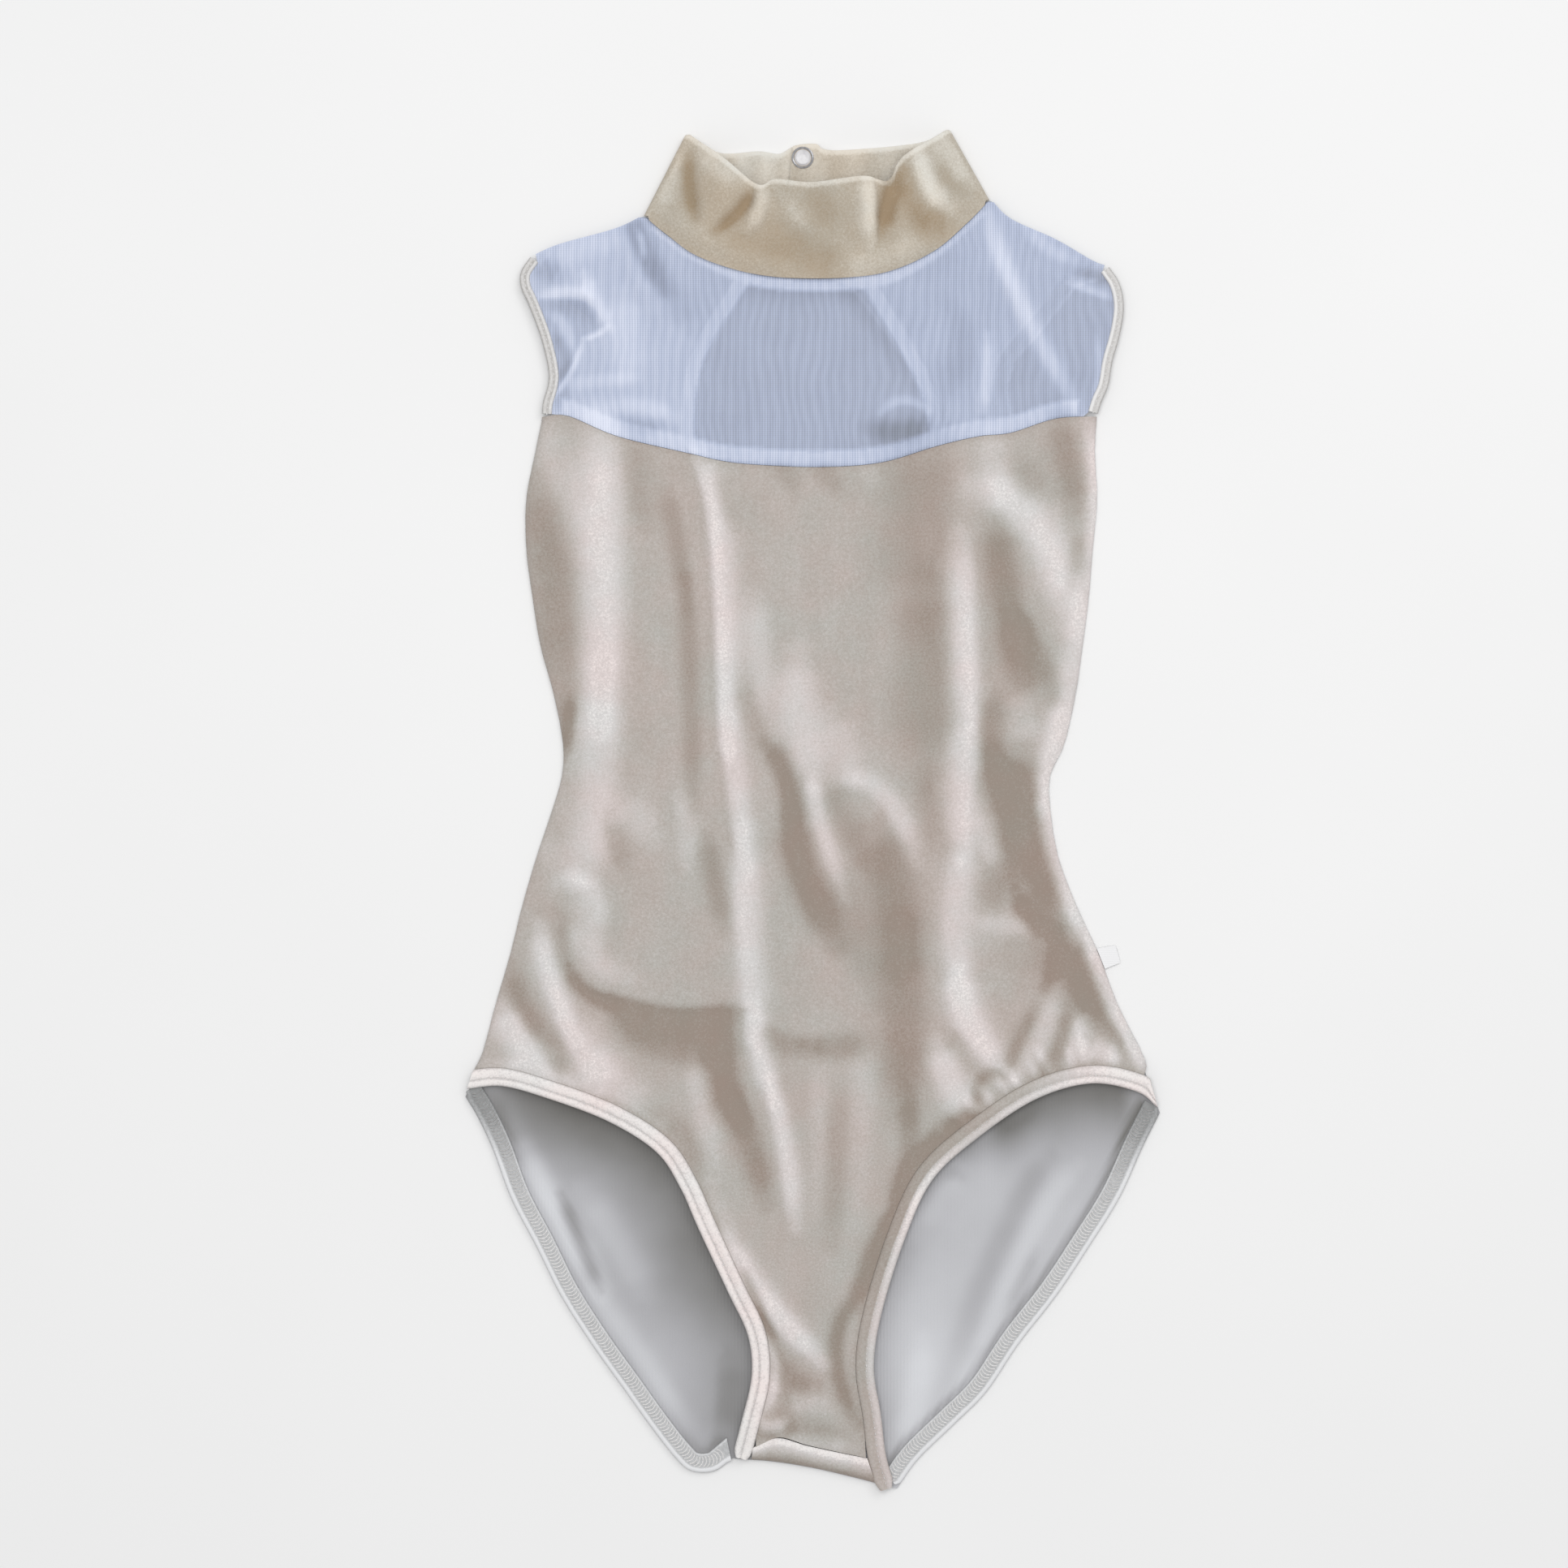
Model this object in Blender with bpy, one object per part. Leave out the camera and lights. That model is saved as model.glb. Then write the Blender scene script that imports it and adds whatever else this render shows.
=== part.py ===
"""Sleeveless ballet leotard with a mock neck, laid flat on its back.

World axes: +X is the viewer's right, +Y runs from the legs to the collar and +Z rises
from the surface that the garment lies on. Every size below is in millimetres, and MM
turns it into metres where a mesh is made. The back pieces lie on the surface and the
front pieces lie on them, lofted a little by their folds.
"""

import math
from collections import namedtuple

import bmesh
import bpy
import numpy as np
from mathutils import Vector
from mathutils.geometry import delaunay_2d_cdt

MM = 0.001
TINY = 1e-9
CENTRE_X = 0.5
CENTRE_Y = -1.25

# Cloth and trim thicknesses
VELVET = 1.2
NET = 1.0
COLLAR_WALL = 1.4
ALLOWANCE = 0.6
SEAM_GAP = 0.3
NECK_GAP = 0.6

# Widths of the trims
LEG_BAND = 9.0
LEG_CASING = 9.5
ARM_BINDING = 5.0
YOKE_ALLOWANCE = 8.0
NECK_ALLOWANCE = 6.0
KEYHOLE_HEM = 5.5

# Heights of the trims over their underside
LEG_BAND_HEIGHT = 2.4
CASING_HEIGHT = 1.2
FRONT_BINDING_HEIGHT = 2.0
BACK_BINDING_HEIGHT = 1.35

# Loft of the front layer over the back layer
BODY_LOFT = 2.2
NECK_LOFT = 11.0
NECK_LOFT_STARTS = 232.0
NECK_LOFT_ENDS = 306.0
SIDE_EASE = 34.0

# Heights between which the front panel ends in the leg bands
HIP_Y = -145.0
CROTCH_Y = -311.0

# Ring snap on the collar's overlap
SNAP_X = -4.4
SNAP_Y = 320.0
SNAP_RADIUS = 5.5
SNAP_WIRE = 0.6
SNAP_CAP_HEIGHT = 1.3

# Spacing of the mesh points
PANEL_STEP = 10.5
NET_STEP = 10.0
LINE_STEP = 8.0

Side = namedtuple("Side", "y left right")
Spot = namedtuple("Spot", "x y")
Gap = namedtuple("Gap", "y gap")
Fold = namedtuple("Fold", "x0 y0 x1 y1 x2 y2 half_width height")

# Side seams of the body, from the underarm down to the hip
BODY_SIDES = [
    Side(193, -132.5, 140.5),
    Side(176, -136.0, 139.5),
    Side(152, -140.5, 140.5),
    Side(128, -140.5, 138.5),
    Side(104, -137.5, 136.5),
    Side(80, -133.5, 133.5),
    Side(56, -127.0, 130.0),
    Side(32, -122.5, 124.5),
    Side(16, -123.0, 117.5),
    Side(0, -127.5, 117.5),
    Side(-24, -135.5, 121.5),
    Side(-48, -142.5, 130.5),
    Side(-72, -148.5, 141.5),
    Side(-96, -155.5, 150.5),
    Side(-120, -162.0, 162.5),
    Side(-129, -166.5, 165.5),
]

# Edge of each front leg opening, from the hip to the crotch
LEFT_LEG = [
    Spot(-169.5, -138), Spot(-152, -136.6), Spot(-130, -142.4), Spot(-100, -153.8),
    Spot(-76.4, -168.8), Spot(-64.6, -186.4), Spot(-55.8, -206.2), Spot(-41.2, -237.6),
    Spot(-31.4, -259), Spot(-29.6, -279), Spot(-34.4, -300.6), Spot(-39, -318.5),
]
RIGHT_LEG = [
    Spot(170, -147), Spot(160, -139.4), Spot(137, -135.2), Spot(110, -143),
    Spot(82, -161.6), Spot(59.5, -182.4), Spot(46, -211), Spot(34.4, -248),
    Spot(30.6, -274), Spot(34, -297.6), Spot(36.5, -317.6), Spot(41, -333.5),
]

# Outer edge of the back panel below the hip
LEFT_BACK_LEG = [
    Spot(-170.5, -142), Spot(-164.5, -152), Spot(-157, -168), Spot(-148, -192),
    Spot(-135.5, -216), Spot(-123.5, -240), Spot(-108.2, -264), Spot(-91.6, -287.2),
    Spot(-80, -303.4), Spot(-68, -318.8), Spot(-59.6, -326.2), Spot(-48, -326.4),
    Spot(-39, -320),
]
RIGHT_BACK_LEG = [
    Spot(171.5, -150), Spot(162.5, -168), Spot(151.5, -192), Spot(136.5, -216),
    Spot(120.5, -240), Spot(102, -263.7), Spot(86.2, -287.2), Spot(70.2, -303.3),
    Spot(52.6, -320.4), Spot(42, -335),
]

# Fold under the crotch: its outer edge, and the line where the front panel stops
CROTCH_EDGE = [Spot(-37, -320.5), Spot(-20, -321.6), Spot(0, -324.8), Spot(24, -330.4), Spot(39, -334.6)]
CROTCH_LINE = [Spot(-27.4, -314), Spot(-16, -309), Spot(-2, -312.8), Spot(14, -316.4), Spot(26.6, -319)]

# Yoke lines
YOKE_SEAM = [
    Spot(-132.8, 192.8), Spot(-120, 193), Spot(-96, 183), Spot(-60, 174.4), Spot(-44, 170.8), Spot(-28, 169),
    Spot(4, 167.8), Spot(34, 170), Spot(62, 178.2), Spot(82, 182.8), Spot(98, 184.6), Spot(120, 191.6),
    Spot(140.5, 193),
]
FRONT_NECK = [
    Spot(-83, 292), Spot(-70, 280.8), Spot(-56, 270.8), Spot(-30, 262.6), Spot(0, 260),
    Spot(34, 262.6), Spot(60, 273.4), Spot(76, 287), Spot(88, 300),
]
BACK_NECK = [Spot(-83, 292), Spot(-40, 281), Spot(0, 278), Spot(44, 284), Spot(88, 300)]
LEFT_SHOULDER = [Spot(-83, 292), Spot(-96.8, 285.6), Spot(-124, 278), Spot(-138, 272)]
RIGHT_SHOULDER = [Spot(88, 300), Spot(98, 290.4), Spot(120, 280.4), Spot(138, 270), Spot(146, 267)]
LEFT_ARM = [
    Spot(-138, 272), Spot(-143.2, 264), Spot(-143, 256), Spot(-139.4, 248), Spot(-133.4, 232),
    Spot(-129.6, 216), Spot(-129.8, 208), Spot(-132.2, 200), Spot(-132.8, 193),
]
RIGHT_ARM = [
    Spot(146, 267), Spot(151.6, 258), Spot(153.6, 246), Spot(151.4, 232), Spot(148, 220),
    Spot(146, 208), Spot(142.6, 200), Spot(140.5, 193),
]

# The back armholes are cut deeper than the front ones
LEFT_BACK_ARM = [
    Spot(-137, 268), Spot(-128, 250), Spot(-110, 236), Spot(-104, 226), Spot(-112, 208),
    Spot(-121, 194), Spot(-126, 178),
]
RIGHT_BACK_ARM = [
    Spot(144, 264), Spot(128, 256), Spot(108, 236), Spot(92, 216), Spot(85, 200), Spot(88, 184),
    Spot(104, 172),
]
LEFT_KEYHOLE = [Spot(-20, 279), Spot(-31, 257.6), Spot(-48.6, 229), Spot(-56, 207), Spot(-58, 166)]
RIGHT_KEYHOLE = [Spot(12, 279), Spot(25, 255.6), Spot(40.8, 230), Spot(52.6, 206), Spot(57.6, 184), Spot(58, 166)]
BACK_TOP = [Spot(-137, 172), Spot(-126, 171), Spot(-57, 162), Spot(0, 160), Spot(62, 162), Spot(104, 166), Spot(139, 166)]

# Collar lines, each from the left fold to the right fold
FRONT_COLLAR_TOP = [
    Spot(-62, 332.4), Spot(-46, 320.4), Spot(-27, 304.4), Spot(-18, 307), Spot(0, 305.6),
    Spot(24, 308.4), Spot(37, 306.4), Spot(42, 315), Spot(48, 321), Spot(68, 334.4),
]
BACK_COLLAR_TOP = [
    Spot(-62, 332.4), Spot(-46, 322.6), Spot(-26, 323.2), Spot(-16, 322), Spot(-8.8, 325.6),
    Spot(2, 326.6), Spot(10, 323.6), Spot(52, 327.2), Spot(68, 334.4),
]
COLLAR_FOLD_RADIUS = 1.6
LEFT_END_SHARE = 0.50
RIGHT_END_SHARE = 0.405

# Height of the front layer's underside where it meets the back layer
EDGE_GAPS = [
    Gap(-336, 3.2), Gap(-132, 3.2), Gap(-100, 1.5), Gap(160, 1.5), Gap(190, 2.6),
    Gap(255, 2.6), Gap(268, 1.9), Gap(284, 1.9), Gap(300, 3.2), Gap(336, 3.2),
]

# Main folds of the front: start, middle, end, half width and height over the cloth around
BODY_FOLDS = [
    Fold(-97, 180, -99, 86, -105, -2, 10, 3.6),
    Fold(-56, 158, -44, 58, -34, -22, 10, 2.8),
    Fold(-34, -24, -30, -102, -6, -200, 10, 2.6),
    Fold(76, 142, 72, 58, 80, -2, 11, 4.0),
    Fold(66, -24, 66, -74, 58, -134, 11, 2.8),
    Fold(-6, 44, 4, 6, 16, -38, 8, 2.8),
    Fold(18, 14, 36, -2, 52, -26, 8, 2.2),
    Fold(-24, 38, -8, 2, 2, -34, 8, -1.6),
    Fold(96, 142, 116, 110, 124, 78, 11, -1.6),
    Fold(112, 76, 116, 60, 112, 44, 10, 2.4),
    Fold(100, 14, 106, -26, 116, -50, 9, 2.4),
    Fold(116, -54, 118, -84, 96, -118, 9, 2.2),
    Fold(-124, -74, -96, -93, -48, -98, 10, -1.8),
    Fold(-144, -92, -132, -116, -118, -132, 9, 2.4),
    Fold(-122, -60, -108, -100, -106, -134, 10, 2.2),
    Fold(-42, -222, -22, -246, -4, -268, 8, 2.4),
    Fold(2, -110, 6, -180, 8, -240, 14, 1.8),
    Fold(50, -170, 26, -230, 20, -282, 9, 1.6),
]
YOKE_FOLDS = [
    Fold(90, 292, 114, 246, 134, 198, 7, 2.6),
    Fold(-90, 282, -86, 268, -80, 254, 7, 1.8),
    Fold(-104, 240, -118, 222, -127, 200, 8, 1.8),
]
COLLAR_FOLDS = [
    Fold(-55, 326, -54, 302, -40, 284, 6, -3.6),
    Fold(-21, 306, -25, 294, -36, 284, 6, 2.6),
    Fold(0, 306, 0, 298, 0, 290, 10, -2.6),
    Fold(30, 308, 31, 294, 30, 284, 5, 2.8),
    Fold(41, 314, 40, 298, 36, 284, 6, -3.4),
    Fold(57, 324, 65, 304, 74, 293, 7, 2.4),
    Fold(-56, 284, -42, 273, -26, 268, 8, 1.8),
    Fold(14, 268, 38, 272, 60, 286, 8, 1.8),
]
FOLDS = BODY_FOLDS + YOKE_FOLDS + COLLAR_FOLDS

LABEL = {"x": 141.2, "y": -74.0, "length": 9.5, "width": 10.0, "height": 0.8, "bottom": 0.5}

# Name, colour, roughness and metallic value
MATERIALS = {
    "velvet_body": ((0.72, 0.66, 0.61), 0.75, 0.0),
    "velvet_reverse": ((0.70, 0.70, 0.71), 0.8, 0.0),
    "velvet_collar": ((0.74, 0.66, 0.52), 0.75, 0.0),
    "stretch_net": ((0.83, 0.86, 0.95), 0.6, 0.0),
    "elastic_trim": ((0.86, 0.83, 0.78), 0.7, 0.0),
    "label_tape": ((0.92, 0.92, 0.92), 0.6, 0.0),
    "snap_ring": ((0.72, 0.72, 0.74), 0.25, 1.0),
    "snap_cap": ((0.90, 0.88, 0.88), 0.3, 0.0),
}


def clear_scene():
    for old in list(bpy.data.objects):
        bpy.data.objects.remove(old, do_unlink=True)


def make_material(name):
    colour, roughness, metallic = MATERIALS[name]
    material = bpy.data.materials.get(name) or bpy.data.materials.new(name)
    material.use_nodes = True
    shader = material.node_tree.nodes["Principled BSDF"]
    shader.inputs["Base Color"].default_value = (*colour, 1.0)
    shader.inputs["Roughness"].default_value = roughness
    shader.inputs["Metallic"].default_value = metallic
    return material


def add_object(name, points, faces, material, sharp_degrees=40.0):
    """A closed solid from points in millimetres."""
    mesh = bpy.data.meshes.new(name)
    placed = [((x - CENTRE_X) * MM, (y - CENTRE_Y) * MM, z * MM) for x, y, z in points]
    mesh.from_pydata(placed, [], faces)
    work = bmesh.new()
    work.from_mesh(mesh)
    bmesh.ops.recalc_face_normals(work, faces=work.faces)
    bmesh.ops.triangulate(work, faces=work.faces)
    work.to_mesh(mesh)
    work.free()
    mesh.shade_smooth()
    mesh.set_sharp_from_angle(angle=math.radians(sharp_degrees))
    mesh.materials.append(make_material(material))
    solid = bpy.data.objects.new(name, mesh)
    bpy.context.scene.collection.objects.link(solid)
    return solid


def spline(spots, step=LINE_STEP):
    """A smooth line through the spots, with a point about every step."""
    knots = [np.array(spot, float) for spot in spots]
    knots = [2 * knots[0] - knots[1]] + knots + [2 * knots[-1] - knots[-2]]
    line = []
    for before, start, end, after in zip(knots, knots[1:], knots[2:], knots[3:]):
        pieces = max(1, round(float(np.linalg.norm(end - start)) / step))
        for piece in range(pieces):
            t = piece / pieces
            line.append(0.5 * (2 * start + (end - before) * t
                               + (2 * before - 5 * start + 4 * end - after) * t ** 2
                               + (3 * start - before - 3 * end + after) * t ** 3))
    line.append(knots[-2])
    return np.array(line)


def normals(line):
    """Unit vectors to the left of the line's direction."""
    along = np.gradient(line, axis=0)
    along /= np.linalg.norm(along, axis=1)[:, None]
    return np.stack([-along[:, 1], along[:, 0]], axis=1)


def offset(line, distance):
    """The line moved to its left by the distance."""
    return line + normals(line) * distance


def distance_to(line, x, y):
    """Distance of each point to a line."""
    nearest = np.full(np.shape(x), np.inf)
    for (ax, ay), (bx, by) in zip(line[:-1], line[1:]):
        length = max((bx - ax) ** 2 + (by - ay) ** 2, TINY)
        t = np.clip(((x - ax) * (bx - ax) + (y - ay) * (by - ay)) / length, 0, 1)
        nearest = np.minimum(nearest, np.hypot(x - ax - t * (bx - ax), y - ay - t * (by - ay)))
    return nearest


def smooth(t):
    t = np.clip(t, 0, 1)
    return t * t * (3 - 2 * t)


def side_line(column):
    return spline([Spot(getattr(row, column), row.y) for row in BODY_SIDES])


def fold_line(fold):
    """The fold's crest as a bent line through its middle."""
    start = np.array([fold.x0, fold.y0])
    end = np.array([fold.x2, fold.y2])
    bend = 2 * np.array([fold.x1, fold.y1]) - 0.5 * (start + end)
    steps = np.linspace(0, 1, 9)[:, None]
    return (1 - steps) ** 2 * start + 2 * steps * (1 - steps) * bend + steps ** 2 * end


LEFT_SIDE = side_line("left")
RIGHT_SIDE = side_line("right")
COLLAR_LEFT = np.array([BACK_NECK[0], BACK_COLLAR_TOP[0]], float)
COLLAR_RIGHT = np.array([BACK_NECK[-1], BACK_COLLAR_TOP[-1]], float)
JOINED_LEFT = np.concatenate([COLLAR_LEFT[::-1], spline(LEFT_SHOULDER), spline(LEFT_ARM), LEFT_SIDE,
                              spline(LEFT_LEG)[:1]])
JOINED_RIGHT = np.concatenate([COLLAR_RIGHT[::-1], spline(RIGHT_SHOULDER), spline(RIGHT_ARM), RIGHT_SIDE,
                               spline(RIGHT_LEG)[:1]])
JOINED_CROTCH = spline(CROTCH_EDGE)
FOLD_LINES = [(fold_line(fold), fold) for fold in FOLDS]


def front_underside(x, y):
    """Height of the front layer's underside over the surface."""
    x = np.asarray(x, float)
    y = np.asarray(y, float)
    edge = np.interp(y, [row.y for row in EDGE_GAPS], [row.gap for row in EDGE_GAPS])
    reach = np.minimum(distance_to(JOINED_LEFT, x, y), distance_to(JOINED_RIGHT, x, y))
    reach = np.minimum(reach, distance_to(JOINED_CROTCH, x, y) * 1.6)
    neck = NECK_LOFT * smooth((y - NECK_LOFT_STARTS) / (NECK_LOFT_ENDS - NECK_LOFT_STARTS))
    rise = BODY_LOFT + neck
    for crest, fold in FOLD_LINES:
        away = distance_to(crest, x, y) / fold.half_width
        rise = rise + fold.height * np.exp(-away ** 2)
    return edge + np.maximum(rise, 0) * smooth(reach / SIDE_EASE)


def inside(outline, x, y):
    """True for each point inside the closed outline."""
    within = np.zeros(np.shape(x), bool)
    for (ax, ay), (bx, by) in zip(outline, np.roll(outline, -1, axis=0)):
        crosses = (ay > y) != (by > y)
        with np.errstate(divide="ignore", invalid="ignore"):
            within ^= crosses & (x < (bx - ax) * (y - ay) / (by - ay) + ax)
    return within


def fill(outline, step, creases=()):
    """Triangles inside an outline, with evenly spread points and the creases as edges."""
    spots = [Vector(spot) for spot in outline]
    count = len(spots)
    edges = []
    closed = np.vstack([outline, outline[:1]])
    kept_clear = [closed]
    for crease in creases:
        first = len(spots)
        spots += [Vector(spot) for spot in crease]
        edges += [(first + i, first + i + 1) for i in range(len(crease) - 1)]
        kept_clear.append(crease)
    if step:
        low = outline.min(axis=0)
        high = outline.max(axis=0)
        rows = np.arange(low[1], high[1], step * math.sqrt(0.75))
        grid = [(x + 0.5 * step * (i % 2), y) for i, y in enumerate(rows) for x in np.arange(low[0], high[0], step)]
        grid = np.array(grid)
        keep = inside(outline, grid[:, 0], grid[:, 1])
        for line in kept_clear:
            keep &= distance_to(line, grid[:, 0], grid[:, 1]) > 0.55 * step
        spots += [Vector(spot) for spot in grid[keep]]
    found = delaunay_2d_cdt(spots, edges, [list(range(count))], 1, 1e-4)
    flat = np.array([tuple(vertex) for vertex in found[0]])
    return flat, [tuple(face) for face in found[2]]


def slab(name, flat, faces, bottom, top, material):
    """A solid between two heights over the same triangles."""
    count = len(flat)
    points = [(x, y, z) for (x, y), z in zip(flat, bottom)]
    points += [(x, y, z) for (x, y), z in zip(flat, top)]
    edges = {}
    for face in faces:
        for a, b in zip(face, face[1:] + face[:1]):
            edges[(a, b)] = edges.get((a, b), 0) + 1
    rim = [(a, b) for a, b in edges if (b, a) not in edges]
    solid = [tuple(reversed(face)) for face in faces]
    solid += [tuple(i + count for i in face) for face in faces]
    solid += [(a, b, b + count, a + count) for a, b in rim]
    return add_object(name, points, solid, material)


def front_panel(name, outline, step, thickness, material, creases=()):
    flat, faces = fill(outline, step, creases)
    low = front_underside(flat[:, 0], flat[:, 1])
    slab(name, flat, faces, low, low + thickness, material)
    return flat, faces, low


def flat_panel(name, outline, thickness, material):
    flat, faces = fill(outline, 0)
    slab(name, flat, faces, np.zeros(len(flat)), np.full(len(flat), thickness), material)


def patch(name, panel, region, below, thickness, material):
    """A layer under part of a panel, made from the panel's own points moved down."""
    flat, faces, low = panel
    middles = np.array([flat[list(face)].mean(axis=0) for face in faces])
    chosen = [face for face, here in zip(faces, inside(region, middles[:, 0], middles[:, 1])) if here]
    used = sorted({i for face in chosen for i in face})
    renumber = {old: new for new, old in enumerate(used)}
    faces = [tuple(renumber[i] for i in face) for face in chosen]
    top = low[used] - below
    slab(name, flat[used], faces, top - thickness, top, material)


Ledge = namedtuple("Ledge", "share crown")
ROUNDED = [Ledge(0, 0.45), Ledge(0.18, 0.9), Ledge(0.5, 1.0), Ledge(0.82, 0.9), Ledge(1, 0.45)]
TURNED = [Ledge(0, 0.6), Ledge(0.2, 1.0), Ledge(1, 1.0)]


def band(name, outer, inner, bottom, height, profile, material):
    """A strip between two lines with the same number of points."""
    columns = []
    for ledge in profile:
        line = outer + (inner - outer) * ledge.share
        columns.append(np.column_stack([line, bottom(line) + height * ledge.crown]))
    for ledge in reversed(profile):
        line = outer + (inner - outer) * ledge.share
        columns.append(np.column_stack([line, bottom(line)]))
    tube_solid(name, np.array(columns), material)


def tube_solid(name, columns, material):
    """A closed solid skinned round the columns, with flat ends."""
    around, along = columns.shape[:2]
    points = columns.reshape(-1, 3)
    faces = []
    for i in range(around):
        near = i * along
        far = (i + 1) % around * along
        faces += [(near + j, near + j + 1, far + j + 1, far + j) for j in range(along - 1)]
    half = around // 2
    for end in (0, along - 1):
        ring = [i * along + end for i in range(around)]
        faces += [(ring[i], ring[i + 1], ring[around - 2 - i], ring[around - 1 - i]) for i in range(half - 1)]
    return add_object(name, points, faces, material)


def on_front(line):
    return front_underside(line[:, 0], line[:, 1])


def at_height(height):
    return lambda line: np.full(len(line), height)


def share_of(line, start, end):
    """The part of a line between two shares of its length."""
    lengths = np.concatenate([[0], np.cumsum(np.linalg.norm(np.diff(line, axis=0), axis=1))])
    wanted = np.linspace(start, end, len(line)) * lengths[-1]
    return np.column_stack([np.interp(wanted, lengths, line[:, axis]) for axis in (0, 1)])


def leg_lines(spots, side, inward):
    """A front leg opening's outer edge, the band's inner edge, and the panel's edge."""
    outer = spline(spots)
    inner = offset(outer, inward * LEG_BAND)
    panel = offset(outer, inward * (LEG_BAND + SEAM_GAP))

    def past_side(line):
        limit = np.interp(line[:, 1], side[::-1, 1], side[::-1, 0])
        return (line[:, 1] > HIP_Y) & (inward * (line[:, 0] - limit) < 0), limit

    past, limit = past_side(inner)
    inner[past, 0] = limit[past]
    past, limit = past_side(panel)
    return outer, inner, panel[~past & (panel[:, 1] > CROTCH_Y)]


LEFT_LEG_EDGE, LEFT_BAND_EDGE, LEFT_PANEL_EDGE = leg_lines(LEFT_LEG, LEFT_SIDE, 1)
RIGHT_LEG_EDGE, RIGHT_BAND_EDGE, RIGHT_PANEL_EDGE = leg_lines(RIGHT_LEG, RIGHT_SIDE, -1)


def body_panels():
    seam = spline(YOKE_SEAM) - np.array([0, SEAM_GAP / 2])
    outline = np.concatenate([
        seam[::-1], LEFT_SIDE[1:-1], LEFT_PANEL_EDGE, spline(CROTCH_LINE),
        RIGHT_PANEL_EDGE[::-1], RIGHT_SIDE[-2:0:-1],
    ])
    front_panel("front_body", outline, PANEL_STEP, VELVET, "velvet_body")
    outline = np.concatenate([
        spline(BACK_TOP)[::-1], LEFT_SIDE[LEFT_SIDE[:, 1] < 166], spline(LEFT_BACK_LEG),
        spline(CROTCH_EDGE)[1:-1], spline(RIGHT_BACK_LEG)[::-1], RIGHT_SIDE[RIGHT_SIDE[:, 1] < 160][::-1],
    ])
    flat_panel("back_body", outline, VELVET, "velvet_reverse")


def arm_lines(spots, inward):
    """A front armhole's outer edge, the binding's inner edge, and the net's edge."""
    outer = share_of(spline(spots), 0.01, 0.97)
    return outer, offset(outer, inward * ARM_BINDING), offset(outer, inward * (ARM_BINDING + SEAM_GAP))


def front_yoke():
    """The front net, with the seam allowances that show through it."""
    neck = spline(FRONT_NECK)
    neck = offset(neck, -NECK_GAP)
    left_arm = arm_lines(LEFT_ARM, 1)[2]
    right_arm = arm_lines(RIGHT_ARM, -1)[2]
    seam = spline(YOKE_SEAM) + np.array([0, SEAM_GAP / 2])
    inner = (seam[:, 0] > left_arm[-1, 0] + 2) & (seam[:, 0] < right_arm[-1, 0] - 2)
    left_shoulder = spline(LEFT_SHOULDER)[1:-1] + np.array([0, -0.4])
    right_shoulder = spline(RIGHT_SHOULDER)[1:-1] + np.array([0, -0.4])
    left_end = Spot(*(left_arm[-1] + np.array([0, 0.15])))
    outline = np.concatenate([
        neck[1:-1][::-1], left_shoulder, left_arm[:-1], [left_end], seam[inner],
        right_arm[::-1], right_shoulder[::-1],
    ])
    hem = share_of(seam[inner], 0.03, 0.97)
    hem_top = hem + np.array([0, YOKE_ALLOWANCE])
    hem_foot = hem + np.array([0, 0.8])
    collar_foot = offset(share_of(neck, 0.08, 0.92), -0.8)
    collar_rim = offset(share_of(neck, 0.08, 0.92), -NECK_ALLOWANCE)
    hem_ring = np.concatenate([hem_foot, hem_top[::-1], hem_foot[:1]])
    neck_ring = np.concatenate([collar_foot, collar_rim[::-1], collar_foot[:1]])
    panel = front_panel("front_yoke", outline, NET_STEP, NET, "stretch_net", [hem_ring, neck_ring])
    patch("yoke_seam_allowance", panel, hem_ring[:-1], SEAM_GAP, ALLOWANCE, "stretch_net")
    patch("neck_seam_allowance", panel, neck_ring[:-1], SEAM_GAP, ALLOWANCE, "stretch_net")


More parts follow.
